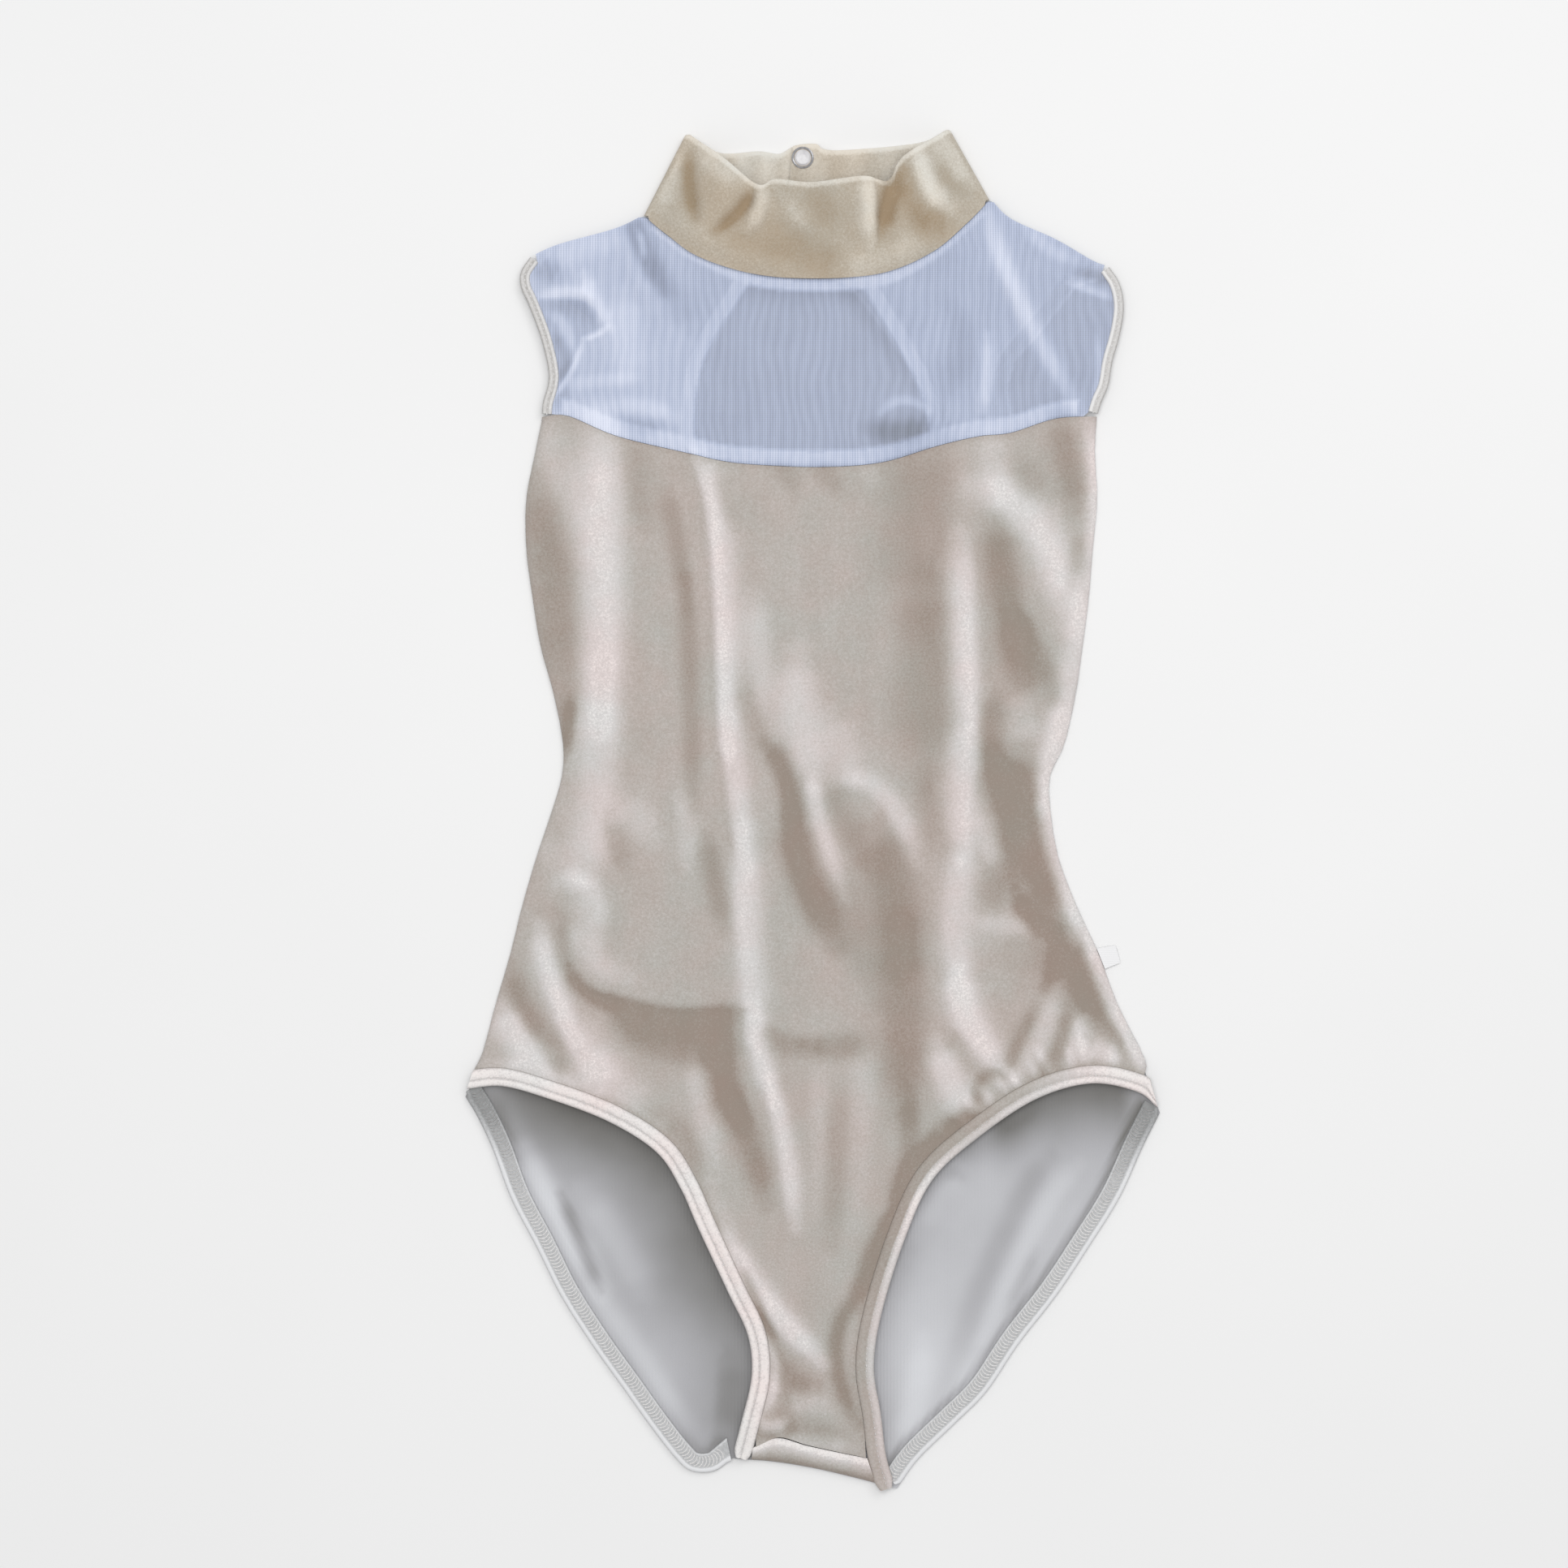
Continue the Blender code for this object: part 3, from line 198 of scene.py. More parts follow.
# Folds of the front body: start, middle and end, how far each reaches to its west (or
# south) and to its east (or north), how much painted highlight (above 0) or painted shade
# (below 0) it puts into the cloth's colour, for the light on the fold with some of the
# pile's own tone, and, where given, its height. Each is listed from its upper or its west end.
BODY_FOLDS = [
    Fold(-105, 192, -103, 120, -104, 40, 10, 9, 0.44),
    Fold(-104, 68, -106, 10, -112, -34, 9, 9, 0.34),
    Fold(-129, 190, -124, 165, -114, 126, 8, 8, 0.18),
    Fold(-136, 160, -127, 118, -121, 58, 13, 8, -0.29),
    Fold(-118, 54, -119, 42, -121, 26, 4, 2.5, -0.46),
    Fold(-86, 180, -86, 160, -82, 138, 5, 7, -0.16),
    Fold(-72, 156, -67, 132, -61, 98, 4.5, 4, -0.24),
    Fold(-62, 114, -60, 60, -58, 0, 4.5, 4, -0.25),
    Fold(-58, 172, -48, 128, -45, 30, 2.4, 8, 0.46),
    Fold(-44, 58, -40, 18, -34, -28, 3, 7, 0.36),
    Fold(-28, 104, -26, 76, -18, 40, 6, 6, 0.22),
    Fold(-35, -12, -33, -60, -29, -114, 5, 8, 0.42),
    Fold(-29, -98, -27, -116, -20, -144, 4.5, 5, 0.42),
    Fold(-21, -134, -14, -168, -9, -206, 3.5, 5, 0.42),
    Fold(-47, 164, -44, 152, -40, 138, 2.5, 5, -0.20),
    Fold(-20, 168, -12, 162, -8, 155, 4, 5, -0.16),
    Fold(2, 168, 8, 162, 14, 155, 4, 5, -0.18),
    Fold(24, 168, 28, 164, 30, 158, 4, 4, 0.12),
    Fold(62, 180, 55, 140, 58, 100, 20, 12, -0.24),
    Fold(60, 110, 60, 70, 59, 18, 15, 7, -0.28),
    Fold(74, 134, 76, 90, 78, 40, 8.5, 4.5, 0.44),
    Fold(78, 46, 75, 10, 75, -22, 8.5, 5, 0.42),
    Fold(76, -20, 70, -46, 71, -88, 6, 8, 0.34),
    Fold(91, 140, 95, 110, 104, 62, 8, 6.5, -0.38),
    Fold(99, 96, 109, 80, 119, 56, 7, 5, -0.32),
    Fold(94, 84, 101, 60, 109, 38, 8, 8, -0.14),
    Fold(78, 158, 110, 138, 127, 90, 8, 9, 0.40),
    Fold(88, 184, 90, 170, 94, 154, 7, 7, 0.22),
    Fold(102, 170, 106, 162, 113, 154, 7, 7, -0.20),
    Fold(122, 192, 126, 170, 130, 148, 7, 6, -0.32),
    Fold(131, 134, 130, 124, 128, 112, 3, 3, -0.16),
    Fold(137, 192, 140, 150, 138, 110, 4, 7, 0.46),
    Fold(136, 112, 131, 82, 127, 54, 6, 7, 0.38),
    Fold(126, 54, 120, 30, 114, 2, 6, 6, 0.52),
    Fold(115, 12, 120, -22, 138, -70, 4.5, 6, 0.56),
    Fold(136, -64, 146, -92, 160, -120, 3, 7, 0.50),
    Fold(98, 58, 104, 46, 107, 30, 7, 6, 0.20),
    Fold(91, 56, 87, 36, 92, 10, 4, 6, -0.30),
    Fold(90, 26, 97, 2, 101, -32, 9, 8, -0.54),
    Fold(105, 28, 110, -10, 121, -58, 8, 7, -0.42),
    Fold(83, 0, 86, -16, 91, -30, 4, 6, 0.28),
    Fold(55, 16, 58, -2, 61, -18, 6, 6, -0.18),
    Fold(98, -26, 92, -36, 87, -50, 8, 6, -0.22),
    Fold(80, -54, 94, -57, 114, -58, 5, 4, 0.24),
    Fold(100, -40, 107, -54, 117, -60, 4, 4, -0.50),
    Fold(117, -58, 120, -72, 114, -88, 3, 4, -0.46),
    Fold(98, -60, 104, -70, 104, -84, 12, 12, -0.10),
    Fold(-34, 62, -30, 46, -21, 28, 4, 4, -0.12),
    Fold(-23, 31, -13, 14, -9, -18, 4.5, 5, -0.48),
    Fold(-10, -6, -4, -32, 12, -68, 7, 7, -0.50),
    Fold(-9, 76, -7, 44, 0, 12, 7, 9, 0.32),
    Fold(0, 16, 3, -6, 16, -44, 3.5, 4, 0.32),
    Fold(9, 44, 14, 30, 19, 18, 8, 8, 0.20),
    Fold(9, 12, 14, -4, 24, -28, 4, 6, -0.20),
    Fold(11, 14, 35, 6, 50, -27, 4, 5.5, 0.32),
    Fold(29, -12, 40, -38, 45, -76, 12, 10, -0.38),
    Fold(10, -34, 19, -58, 32, -94, 7, 9, -0.18),
    Fold(108, -34, 113, -58, 116, -88, 6, 6, -0.16),
    Fold(44, -60, 46, -100, 46, -150, 11, 9, -0.34),
    Fold(47, -138, 48, -165, 43, -188, 5, 4, -0.28),
    Fold(-94, 2, -88, -4, -76, -14, 8, 7, 0.16),
    Fold(-101, -6, -98, -18, -94, -30, 2.5, 7, -0.20),
    Fold(-66, 6, -62, -8, -62, -28, 4, 5, 0.18),
    Fold(-52, -14, -48, -34, -43, -60, 5, 4, -0.28),
    Fold(-124, -36, -110, -40, -104, -64, 6, 5, 0.28),
    Fold(-132, -50, -121, -54, -112, -59, 5, 4, -0.08),
    Fold(-122, -56, -123, -68, -119, -82, 4, 3, -0.20),
    Fold(-119, -78, -111, -90, -91, -97, 3.5, 3, -0.48),
    Fold(-116, -50, -109, -72, -92, -84, 5, 6, 0.26),
    Fold(-132, -14, -124, -26, -116, -34, 6, 6, 0.14),
    Fold(-99, -93, -70, -101, -38, -99, 10, 3, -0.52),
    Fold(-43, -102, -44, -128, -35, -154, 8, 6, -0.50),
    Fold(-38, -142, -30, -164, -22, -194, 7, 5, -0.36),
    Fold(-28, -107, -16, -114, 2, -117, 6, 4, -0.26),
    Fold(-2, -115, 12, -117, 27, -114, 6, 5, -0.28),
    Fold(-59, -124, -54, -146, -48, -182, 5, 5, 0.22),
    Fold(-134, -58, -129, -84, -117, -114, 5, 5, 0.46),
    Fold(-123, -104, -114, -122, -108, -140, 4, 12, 0.28),
    Fold(-147, -78, -142, -98, -130, -114, 4, 5, -0.32),
    Fold(-127, -112, -124, -122, -122, -136, 3, 2.5, -0.10),
    Fold(-152, -98, -143, -114, -130, -134, 8, 5, 0.50),
    Fold(-112, -118, -98, -134, -80, -148, 8, 8, 0.26),
    Fold(-160, -127, -134, -131, -106, -142, 5, 4, 0.34, 0.4),
    Fold(-96, -106, -72, -118, -42, -121, 6, 9, -0.28),
    Fold(-84, -146, -66, -160, -55, -180, 2, 6, -0.18),
    Fold(-52, -186, -42, -208, -34, -228, 2.5, 5, 0.14),
    Fold(72, -80, 76, -104, 93, -131, 7, 8, 0.50),
    Fold(61, -116, 67, -134, 77, -149, 7, 8, 0.40),
    Fold(66, -110, 75, -119, 85, -131, 5, 4, -0.20),
    Fold(110, -98, 102, -114, 95, -132, 3.5, 2.5, -0.30),
    Fold(95, -131, 83, -133, 81, -151, 2.5, 3, -0.38),
    Fold(81, -151, 73, -152, 71, -164, 3, 3, -0.28),
    Fold(80, -152, 55, -170, 39, -202, 5, 4, -0.52),
    Fold(43, -196, 31, -218, 22, -246, 4.5, 3.5, -0.50),
    Fold(22, -238, 12, -268, 23, -303, 4, 3, -0.42),
    Fold(117, -94, 114, -108, 101, -132, 4, 5, 0.24),
    Fold(124, -98, 122, -114, 111, -134, 3, 4, -0.30),
    Fold(130, -106, 137, -104, 150, -122, 5, 3, 0.24),
    Fold(133, -104, 129, -112, 126, -126, 3, 6, 0.30),
    Fold(121, -64, 130, -86, 140, -108, 6, 9, -0.48),
    Fold(136, -98, 146, -110, 155, -117, 4, 4, -0.28),
    Fold(136, -118, 142, -121, 148, -124, 3, 4, 0.30, 0.5),
    Fold(154, -112, 160, -121, 164, -129, 3, 4, 0.40),
    Fold(26, -118, 24, -150, 21, -205, 6, 6, 0.12),
    Fold(13, -140, 12, -170, 9, -215, 5, 5, -0.14),
    Fold(3, -128, 3, -160, 2, -200, 4, 4, 0.10),
    Fold(-43, -212, -24, -242, 5, -273, 4, 6, 0.56),
    Fold(-36, -224, -27, -242, -16, -270, 2, 2.2, -0.52),
    Fold(-17, -268, -10, -280, 2, -284, 5, 5, -0.34),
    Fold(-15, -284, -13, -294, -20, -300, 3, 3, -0.20),
    Fold(-27, -307, -14, -309, -10, -299, 2.5, 2.5, -0.30),
    Fold(-28, -302, -20, -303, -13, -301, 3, 3, 0.30),
    Fold(-22, -311, 0, -311, 20, -314, 3, 3, 0.22, 0.6),
    Fold(-22, -258, -18, -278, -26, -300, 3, 2.5, 0.45, 0.3),
    Fold(-10, -302, 2, -306, 14, -308, 5, 4, -0.20),
    Fold(-12, -294, -2, -292, 8, -296, 4, 5, 0.16),
]
# Folds of the front yoke, then of the collar, in the same columns: painted highlight and shade in the cloth's colour,
# and heights
YOKE_FOLDS = [
    Fold(87, 292, 102, 248, 131, 197, 4, 4.5, 0.26, 2.0),
    Fold(-91, 286, -87, 266, -78, 244, 4, 5, 0.04, 1.4),
    Fold(-90, 292, -84, 276, -73, 254, 4, 6, -0.30, -0.6),
    Fold(-85, 284, -83, 277, -82, 270, 1.6, 1.6, 0.24, 0.5),
    Fold(-128, 272, -112, 276, -98, 280, 6, 5, 0.12, 0.6),
    Fold(-134, 268, -130, 265, -124, 262, 5, 5, -0.20, 0.0),
    Fold(-133, 252, -120, 253, -110, 251, 2.5, 3, 0.24, 0.9),
    Fold(-112, 262, -107, 248, -100, 236, 3, 4, 0.24, 1.2),
    Fold(-127, 248, -114, 246, -103, 237, 4, 4, -0.10, -0.8),
    Fold(-125, 218, -123, 209, -125, 199, 4, 4, -0.22, 0.0),
    Fold(-129, 243, -121, 236, -119, 222, 2.5, 2.5, 0.18, 0.5),
    Fold(-126, 232, -122, 226, -118, 214, 2.5, 2.5, -0.18, 0.0),
    Fold(-113, 231, -119, 214, -131, 199, 1.2, 1.6, 0.26, 0.4),
    Fold(-112, 231, -106, 233, -100, 237, 1.4, 1.4, 0.26, 0.4),
    Fold(-124, 208, -104, 210, -86, 212, 3, 3, 0.12, 0.5),
    Fold(-96, 198, -82, 197, -68, 192, 4, 4, 0.16, 0.6),
    Fold(-93, 191, -84, 187, -74, 189, 3.5, 3.5, -0.14, -0.3),
    Fold(-92, 252, -91, 232, -90, 212, 7, 7, 0.14, 0.4),
    Fold(-76, 262, -68, 250, -60, 236, 5, 7, -0.10, 0.2),
    Fold(86, 232, 86, 212, 84, 196, 3, 3, 0.22, 0.8),
    Fold(70, 246, 74, 226, 68, 206, 6, 5, -0.10, -0.2),
    Fold(106, 286, 116, 276, 130, 270, 3, 3, 0.14, 0.6),
    Fold(126, 258, 138, 254, 148, 251, 1.6, 2.4, 0.22, 0.8),
    Fold(130, 263, 140, 262, 149, 258, 2, 3, -0.20, -0.2),
    Fold(140, 232, 141, 216, 139, 200, 1.6, 1.6, 0.14, 0.3),
    Fold(28, 187, 42, 185, 56, 188, 5, 5, -0.26, 0.3),
    Fold(34, 194, 45, 200, 57, 195, 1.8, 2.6, 0.18, 0.6),
    Fold(14, 258, 30, 240, 54, 204, 5, 1.0, -0.10, 0.0),
]
COLLAR_FOLDS = [
    Fold(-60, 320, -60, 306, -57, 289, 3.2, 3.2, -0.48, -3.2),
    Fold(-66, 325, -70, 308, -74, 296, 4, 5, 0.22, 0.6),
    Fold(-53, 322, -46, 313, -36, 306, 4, 5, 0.22, 0.2),
    Fold(-70, 298, -56, 281, -14, 266, 4.5, 4, 0.06, 1.6),
    Fold(-29, 301, -35, 292, -47, 282, 3.2, 2.5, -0.54, -2.2),
    Fold(-25, 304, -25, 294, -31, 283, 3, 3, 0.26, 2.6),
    Fold(-44, 279, -30, 275, -14, 271, 4, 5, -0.14, -0.2),
    Fold(-16, 282, 0, 272, 14, 266, 8, 7, -0.20, -0.6),
    Fold(-4, 304, 4, 294, 10, 284, 5, 6, -0.16, -1.2),
    Fold(-13, 298, -8, 290, -2, 284, 3, 3, 0.12, 0.4),
    Fold(28, 308, 29, 294, 30, 278, 5, 2, 0.42, 3.2),
    Fold(40, 308, 37, 297, 33, 283, 3.5, 5, -0.60, -3.6),
    Fold(45, 318, 47, 300, 54, 281, 4, 6, -0.22, -0.8),
    Fold(52, 324, 56, 306, 67, 294, 4, 4.5, 0.42, 2.2),
    Fold(65, 316, 68, 307, 80, 302, 3, 3, -0.14, -0.4),
    Fold(60, 329, 69, 320, 77, 306, 6, 6, 0.24, 0.5),
    Fold(54, 291, 60, 287, 66, 286, 6, 5, -0.26, 0.0),
    Fold(12, 264, 32, 268, 58, 279, 5, 5, 0.14, 1.5),
]
# Folds on the back's reverse inside the leg openings, in the same columns, with their painted highlight and shade and
# their heights
BACK_FOLDS = [
    Fold(-142, -168, -128, -196, -104, -238, 6, 6, 0.28, 0.9),
    Fold(-124, -190, -114, -214, -104, -238, 3, 3, -0.44, -0.2),
    Fold(-114, -190, -96, -214, -84, -240, 5, 8, 0.14, 0.5),
    Fold(-108, -240, -84, -272, -66, -304, 6, 6, 0.12, 0.5),
    Fold(-44, -272, -44, -294, -48, -318, 3, 9, -0.12, -0.2),
    Fold(132, -176, 112, -204, 84, -262, 5, 4, 0.12, 0.9),
    Fold(118, -172, 104, -194, 98, -222, 5, 4, -0.04, -0.1),
    Fold(118, -172, 94, -212, 62, -298, 6, 5, -0.18, -0.3),
    Fold(110, -218, 104, -232, 97, -246, 3, 3, -0.14, 0.1),
    Fold(72, -176, 60, -190, 50, -208, 4, 7, 0.14, 0.5),
    Fold(54, -262, 50, -290, 42, -314, 5, 6, 0.12, 0.5),
    Fold(74, -182, 62, -182, 52, -200, 3, 3, -0.14, 0.1),
]
# Where the front net lies single beside the back armholes, and the back's right binding
LEFT_SINGLE = [
    Spot(-132, 196), Spot(-127, 204), Spot(-120, 214), Spot(-114, 227), Spot(-111, 231), Spot(-101, 235),
    Spot(-106, 245), Spot(-114, 250), Spot(-134, 251),
]
RIGHT_SINGLE = [
    Spot(142, 194), Spot(99, 190), Spot(96, 206), Spot(100, 220), Spot(111, 232), Spot(122, 246),
    Spot(130, 256), Spot(149, 262), Spot(155, 248),
]
RIGHT_BAND = [Spot(94, 192), Spot(92, 206), Spot(97, 222), Spot(108, 235), Spot(119, 249), Spot(127, 260)]
SINGLE_TONE = 0.42
DOUBLE_TONE = 0.53
HEM_TONE = 0.62
STRIP_TONE = 0.68
TONE_EDGE = 1.4
LEFT_GLOW = 0.08
# Small gathers that the leg elastic draws in: place along the leg edge, length, half
# width, height and lean
Gather = namedtuple("Gather", "share length half_width height lean")
RIGHT_GATHERS = [
    Gather(0.090, 12, 2.2, 0.9, 0.10), Gather(0.125, 15, 2.4, 1.1, 0.15), Gather(0.152, 10, 1.8, 0.9, 0.05),
    Gather(0.180, 14, 2.2, 1.2, 0.20), Gather(0.206, 9, 1.7, 0.9, 0.10), Gather(0.236, 13, 2.4, 1.3, 0.15),
    Gather(0.262, 9, 1.8, 0.8, 0.0), Gather(0.290, 12, 2.2, 1.2, 0.05), Gather(0.322, 10, 2.0, 1.0, -0.05),
    Gather(0.352, 8, 1.8, 0.8, 0.0), Gather(0.385, 7, 1.6, 0.6, 0.0), Gather(0.430, 6, 1.6, 0.5, 0.0),
]
LEFT_GATHERS = [
    Gather(0.10, 7, 2.0, 0.4, 0.0), Gather(0.17, 9, 2.2, 0.5, 0.1), Gather(0.24, 6, 2.0, 0.4, 0.0),
    Gather(0.36, 8, 2.4, 0.4, 0.0), Gather(0.47, 6, 2.0, 0.4, 0.0), Gather(0.86, 6, 1.8, 0.6, 0.0),
]


def point(x, y, z):
    """A place on the garment, in metres in the row frame."""
    return ((x - CENTRE_X) * MM, (y - CENTRE_Y) * MM, z * MM)


def spline(spots, step=LINE_STEP):
    """A smooth line through the spots, with a point about every step."""
    knots = [np.array(spot, float) for spot in spots]
    knots = [2 * knots[0] - knots[1]] + knots + [2 * knots[-1] - knots[-2]]
    line = []
    for before, start, end, after in zip(knots, knots[1:], knots[2:], knots[3:]):
        pieces = max(1, round(float(np.linalg.norm(end - start)) / step))
        for piece in range(pieces):
            t = piece / pieces
            line.append(0.5 * (2 * start + (end - before) * t
                               + (2 * before - 5 * start + 4 * end - after) * t ** 2
                               + (3 * start - before - 3 * end + after) * t ** 3))
    line.append(knots[-2])
    return np.array(line)


def normals(line):
    along = np.gradient(line, axis=0)
    along /= np.linalg.norm(along, axis=1)[:, None]
    return np.stack([-along[:, 1], along[:, 0]], axis=1)


def offset(line, distance):
    """The line moved to its left by the distance."""
    return line + normals(line) * distance


def distance_to(line, x, y):
    nearest = np.full(np.shape(x), np.inf)
    for (ax, ay), (bx, by) in zip(line[:-1], line[1:]):
        length = max((bx - ax) ** 2 + (by - ay) ** 2, TINY)
        t = np.clip(((x - ax) * (bx - ax) + (y - ay) * (by - ay)) / length, 0, 1)
        nearest = np.minimum(nearest, np.hypot(x - ax - t * (bx - ax), y - ay - t * (by - ay)))
    return nearest


def unit(step):
    return step / max(np.linalg.norm(step), TINY)


def smooth(t):
    t = np.clip(t, 0, 1)
    return t * t * (3 - 2 * t)


def share_of(line, start, end, count=None):
    """The part of a line between two shares of its length."""
    lengths = np.concatenate([[0], np.cumsum(np.linalg.norm(np.diff(line, axis=0), axis=1))])
    wanted = np.linspace(start, end, count or len(line)) * lengths[-1]
    return np.column_stack([np.interp(wanted, lengths, line[:, axis]) for axis in range(line.shape[1])])


def side_line(column, step=LINE_STEP):
    return spline([Spot(getattr(row, column), row.y) for row in BODY_SIDES], step)


def fold_line(fold):
    start = np.array([fold.x0, fold.y0])
    end = np.array([fold.x2, fold.y2])
    bend = 2 * np.array([fold.x1, fold.y1]) - 0.5 * (start + end)
    steps = np.linspace(0, 1, 9)[:, None]
    return (1 - steps) ** 2 * start + 2 * steps * (1 - steps) * bend + steps ** 2 * end


def nearest_on(line, x, y):
    """For each place: how far it is from a line, at which share of it, and on which side."""
    best = np.full(np.shape(x), np.inf)
    share = np.zeros(np.shape(x))
    east = np.ones(np.shape(x), bool)
    count = len(line) - 1
    for i, ((ax, ay), (bx, by)) in enumerate(zip(line[:-1], line[1:])):
        length = max((bx - ax) ** 2 + (by - ay) ** 2, TINY)
        t = np.clip(((x - ax) * (bx - ax) + (y - ay) * (by - ay)) / length, 0, 1)
        away = np.hypot(x - ax - t * (bx - ax), y - ay - t * (by - ay))
        nearer = away < best
        best = np.where(nearer, away, best)
        share = np.where(nearer, (i + t) / count, share)
        east = np.where(nearer, (bx - ax) * (y - ay) - (by - ay) * (x - ax) > 0, east)
    return best, share, east


def gather_folds(leg, gathers, inward):
    """The gathers as short folds that stand square to the leg edge."""
    line = spline(leg)
    folds = []
    for gather in gathers:
        here, ahead = share_of(line, gather.share, gather.share + 0.01, 2)
        along = (ahead - here) / np.linalg.norm(ahead - here)
        across = inward * np.array([-along[1], along[0]]) + gather.lean * along
        start = here + across * LEG_BAND
        end = start + across * gather.length
        middle = (start + end) / 2
        # each gather carries a painted highlight in step with its height
        folds.append(Fold(*start, *middle, *end, gather.half_width, gather.half_width, 0.22 * gather.height,
                          gather.height))
    return folds


LEFT_SIDE = side_line("left")
RIGHT_SIDE = side_line("right")
COARSE = 10.0
JOINED_LEFT = np.concatenate([
    np.array([BACK_COLLAR_TOP[0], BACK_NECK[0]], float), spline(LEFT_SHOULDER, COARSE), spline(LEFT_ARM, COARSE),
    side_line("left", COARSE), np.array([LEFT_LEG[0]], float),
])
JOINED_RIGHT = np.concatenate([
    np.array([BACK_COLLAR_TOP[-1], BACK_NECK[-1]], float), spline(RIGHT_SHOULDER, COARSE),
    spline(RIGHT_ARM, COARSE), side_line("right", COARSE), np.array([RIGHT_LEG[0]], float),
])
JOINED_CROTCH = spline(CROTCH_EDGE, COARSE)
SEAMED_SIDES = [side_line("left", COARSE), side_line("right", COARSE)]
FRONT_FOLDS = (BODY_FOLDS + YOKE_FOLDS + COLLAR_FOLDS
               + gather_folds(RIGHT_LEG, RIGHT_GATHERS, -1) + gather_folds(LEFT_LEG, LEFT_GATHERS, 1))
FOLD_LINES = [(fold_line(fold), fold) for fold in FRONT_FOLDS]
BACK_FOLD_LINES = [(fold_line(fold), fold) for fold in BACK_FOLDS]


def creases_at(lines, x, y):
    """Height, and painted highlight and shade, that the folds give at each place."""
    rise = np.zeros(np.shape(x))
    nap = np.zeros(np.shape(x))
    for crest, fold in lines:
        reach = max(fold.west, fold.east)
        low = crest.min(axis=0) - 2.6 * reach
        high = crest.max(axis=0) + 2.6 * reach
        near = (x > low[0]) & (x < high[0]) & (y > low[1]) & (y < high[1])
        if not near.any():
            continue
        away, share, east = nearest_on(crest, x[near], y[near])
        taper = smooth(np.minimum(share, 1 - share) / FOLD_TAPER)
        width = np.where(east, fold.east, fold.west) * (0.9 + 0.3 * taper)
        shape = np.exp(-(away / width) ** FOLD_FLATNESS) * (0.45 + 0.55 * taper)
        height = fold.height
        if height is None:
            height = fold.nap * (RIDGE_RISE if fold.nap > 0 else HOLLOW_RISE)
        rise[near] += height * shape
        nap[near] += fold.nap * shape
    return rise, nap


def front_shape(x, y):
    """Underside height of the front layer, and the painted highlight and shade of its folds."""
    x = np.atleast_1d(np.asarray(x, float))
    y = np.atleast_1d(np.asarray(y, float))
    edge = np.interp(y, [row.y for row in EDGE_GAPS], [row.gap for row in EDGE_GAPS])
    reach = np.minimum(distance_to(JOINED_LEFT, x, y), distance_to(JOINED_RIGHT, x, y))
    reach = np.minimum(reach, distance_to(JOINED_CROTCH, x, y) * 1.6)
    neck = NECK_LOFT * smooth((y - NECK_LOFT_STARTS) / (NECK_LOFT_ENDS - NECK_LOFT_STARTS))
    rise, nap = creases_at(FOLD_LINES, x, y)
    return edge + np.maximum(BODY_LOFT + neck + rise, 0) * smooth(reach / SIDE_EASE), nap


def front_underside(x, y):
    return front_shape(x, y)[0]


def on_front(line):
    return front_underside(line[:, 0], line[:, 1])


def at_height(height):
    return lambda line: np.full(len(line), height)


def inside(outline, x, y):
    within = np.zeros(np.shape(x), bool)
    for (ax, ay), (bx, by) in zip(outline, np.roll(outline, -1, axis=0)):
        crosses = (ay > y) != (by > y)
        with np.errstate(divide="ignore", invalid="ignore"):
            within ^= crosses & (x < (bx - ax) * (y - ay) / (by - ay) + ax)
    return within


def fill(outline, step, creases=()):
    """Triangles inside an outline, with evenly spread points and the creases as edges."""
    spots = [Vector(spot) for spot in outline]
    count = len(spots)
    edges = []
    kept_clear = [np.vstack([outline, outline[:1]])]
    for crease in creases:
        first = len(spots)
        spots += [Vector(spot) for spot in crease]
        edges += [(first + i, first + i + 1) for i in range(len(crease) - 1)]
        kept_clear.append(crease)
    low = outline.min(axis=0)
    high = outline.max(axis=0)
    rows = np.arange(low[1], high[1], step * math.sqrt(0.75))
    places = np.arange(low[0], high[0], step)
    grid = np.concatenate([np.column_stack([places + 0.5 * step * (i % 2), np.full(len(places), y)])
                           for i, y in enumerate(rows)])
    keep = inside(outline, grid[:, 0], grid[:, 1])
    for line in kept_clear:
        keep &= distance_to(line, grid[:, 0], grid[:, 1]) > 0.55 * step
    spots += [Vector(spot) for spot in grid[keep]]
    found = delaunay_2d_cdt(spots, edges, [list(range(count))], 1, 1e-4)
    return np.array([tuple(vertex) for vertex in found[0]]), [tuple(face) for face in found[2]]


def finish_piece(name, points, faces, material, nap=None, closed=True, sharp=50.0):
    """A piece of the garment from points in millimetres, riding on the part's body."""
    mesh = bpy.data.meshes.new(name)
    mesh.from_pydata([point(*spot) for spot in points], [], faces)
    if nap is not None:
        layer = mesh.attributes.new("nap", "FLOAT", "POINT")
        layer.data.foreach_set("value", np.asarray(nap, np.float32))
    work = bmesh.new()
    work.from_mesh(mesh)
    if closed:
        bmesh.ops.recalc_face_normals(work, faces=work.faces)
    work.to_mesh(mesh)
    work.free()
    mesh.shade_smooth()
    if sharp:
        mesh.set_sharp_from_angle(angle=math.radians(sharp))
    mesh.materials.append(material)
    piece = bpy.data.objects.new(name, mesh)
    bpy.context.scene.collection.objects.link(piece)
    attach(piece, "root")
    return piece


def rim_of(faces):
    edges = set()
    for face in faces:
        for a, b in zip(face, face[1:] + face[:1]):
            edges.add((a, b))
    return [(a, b) for a, b in edges if (b, a) not in edges]


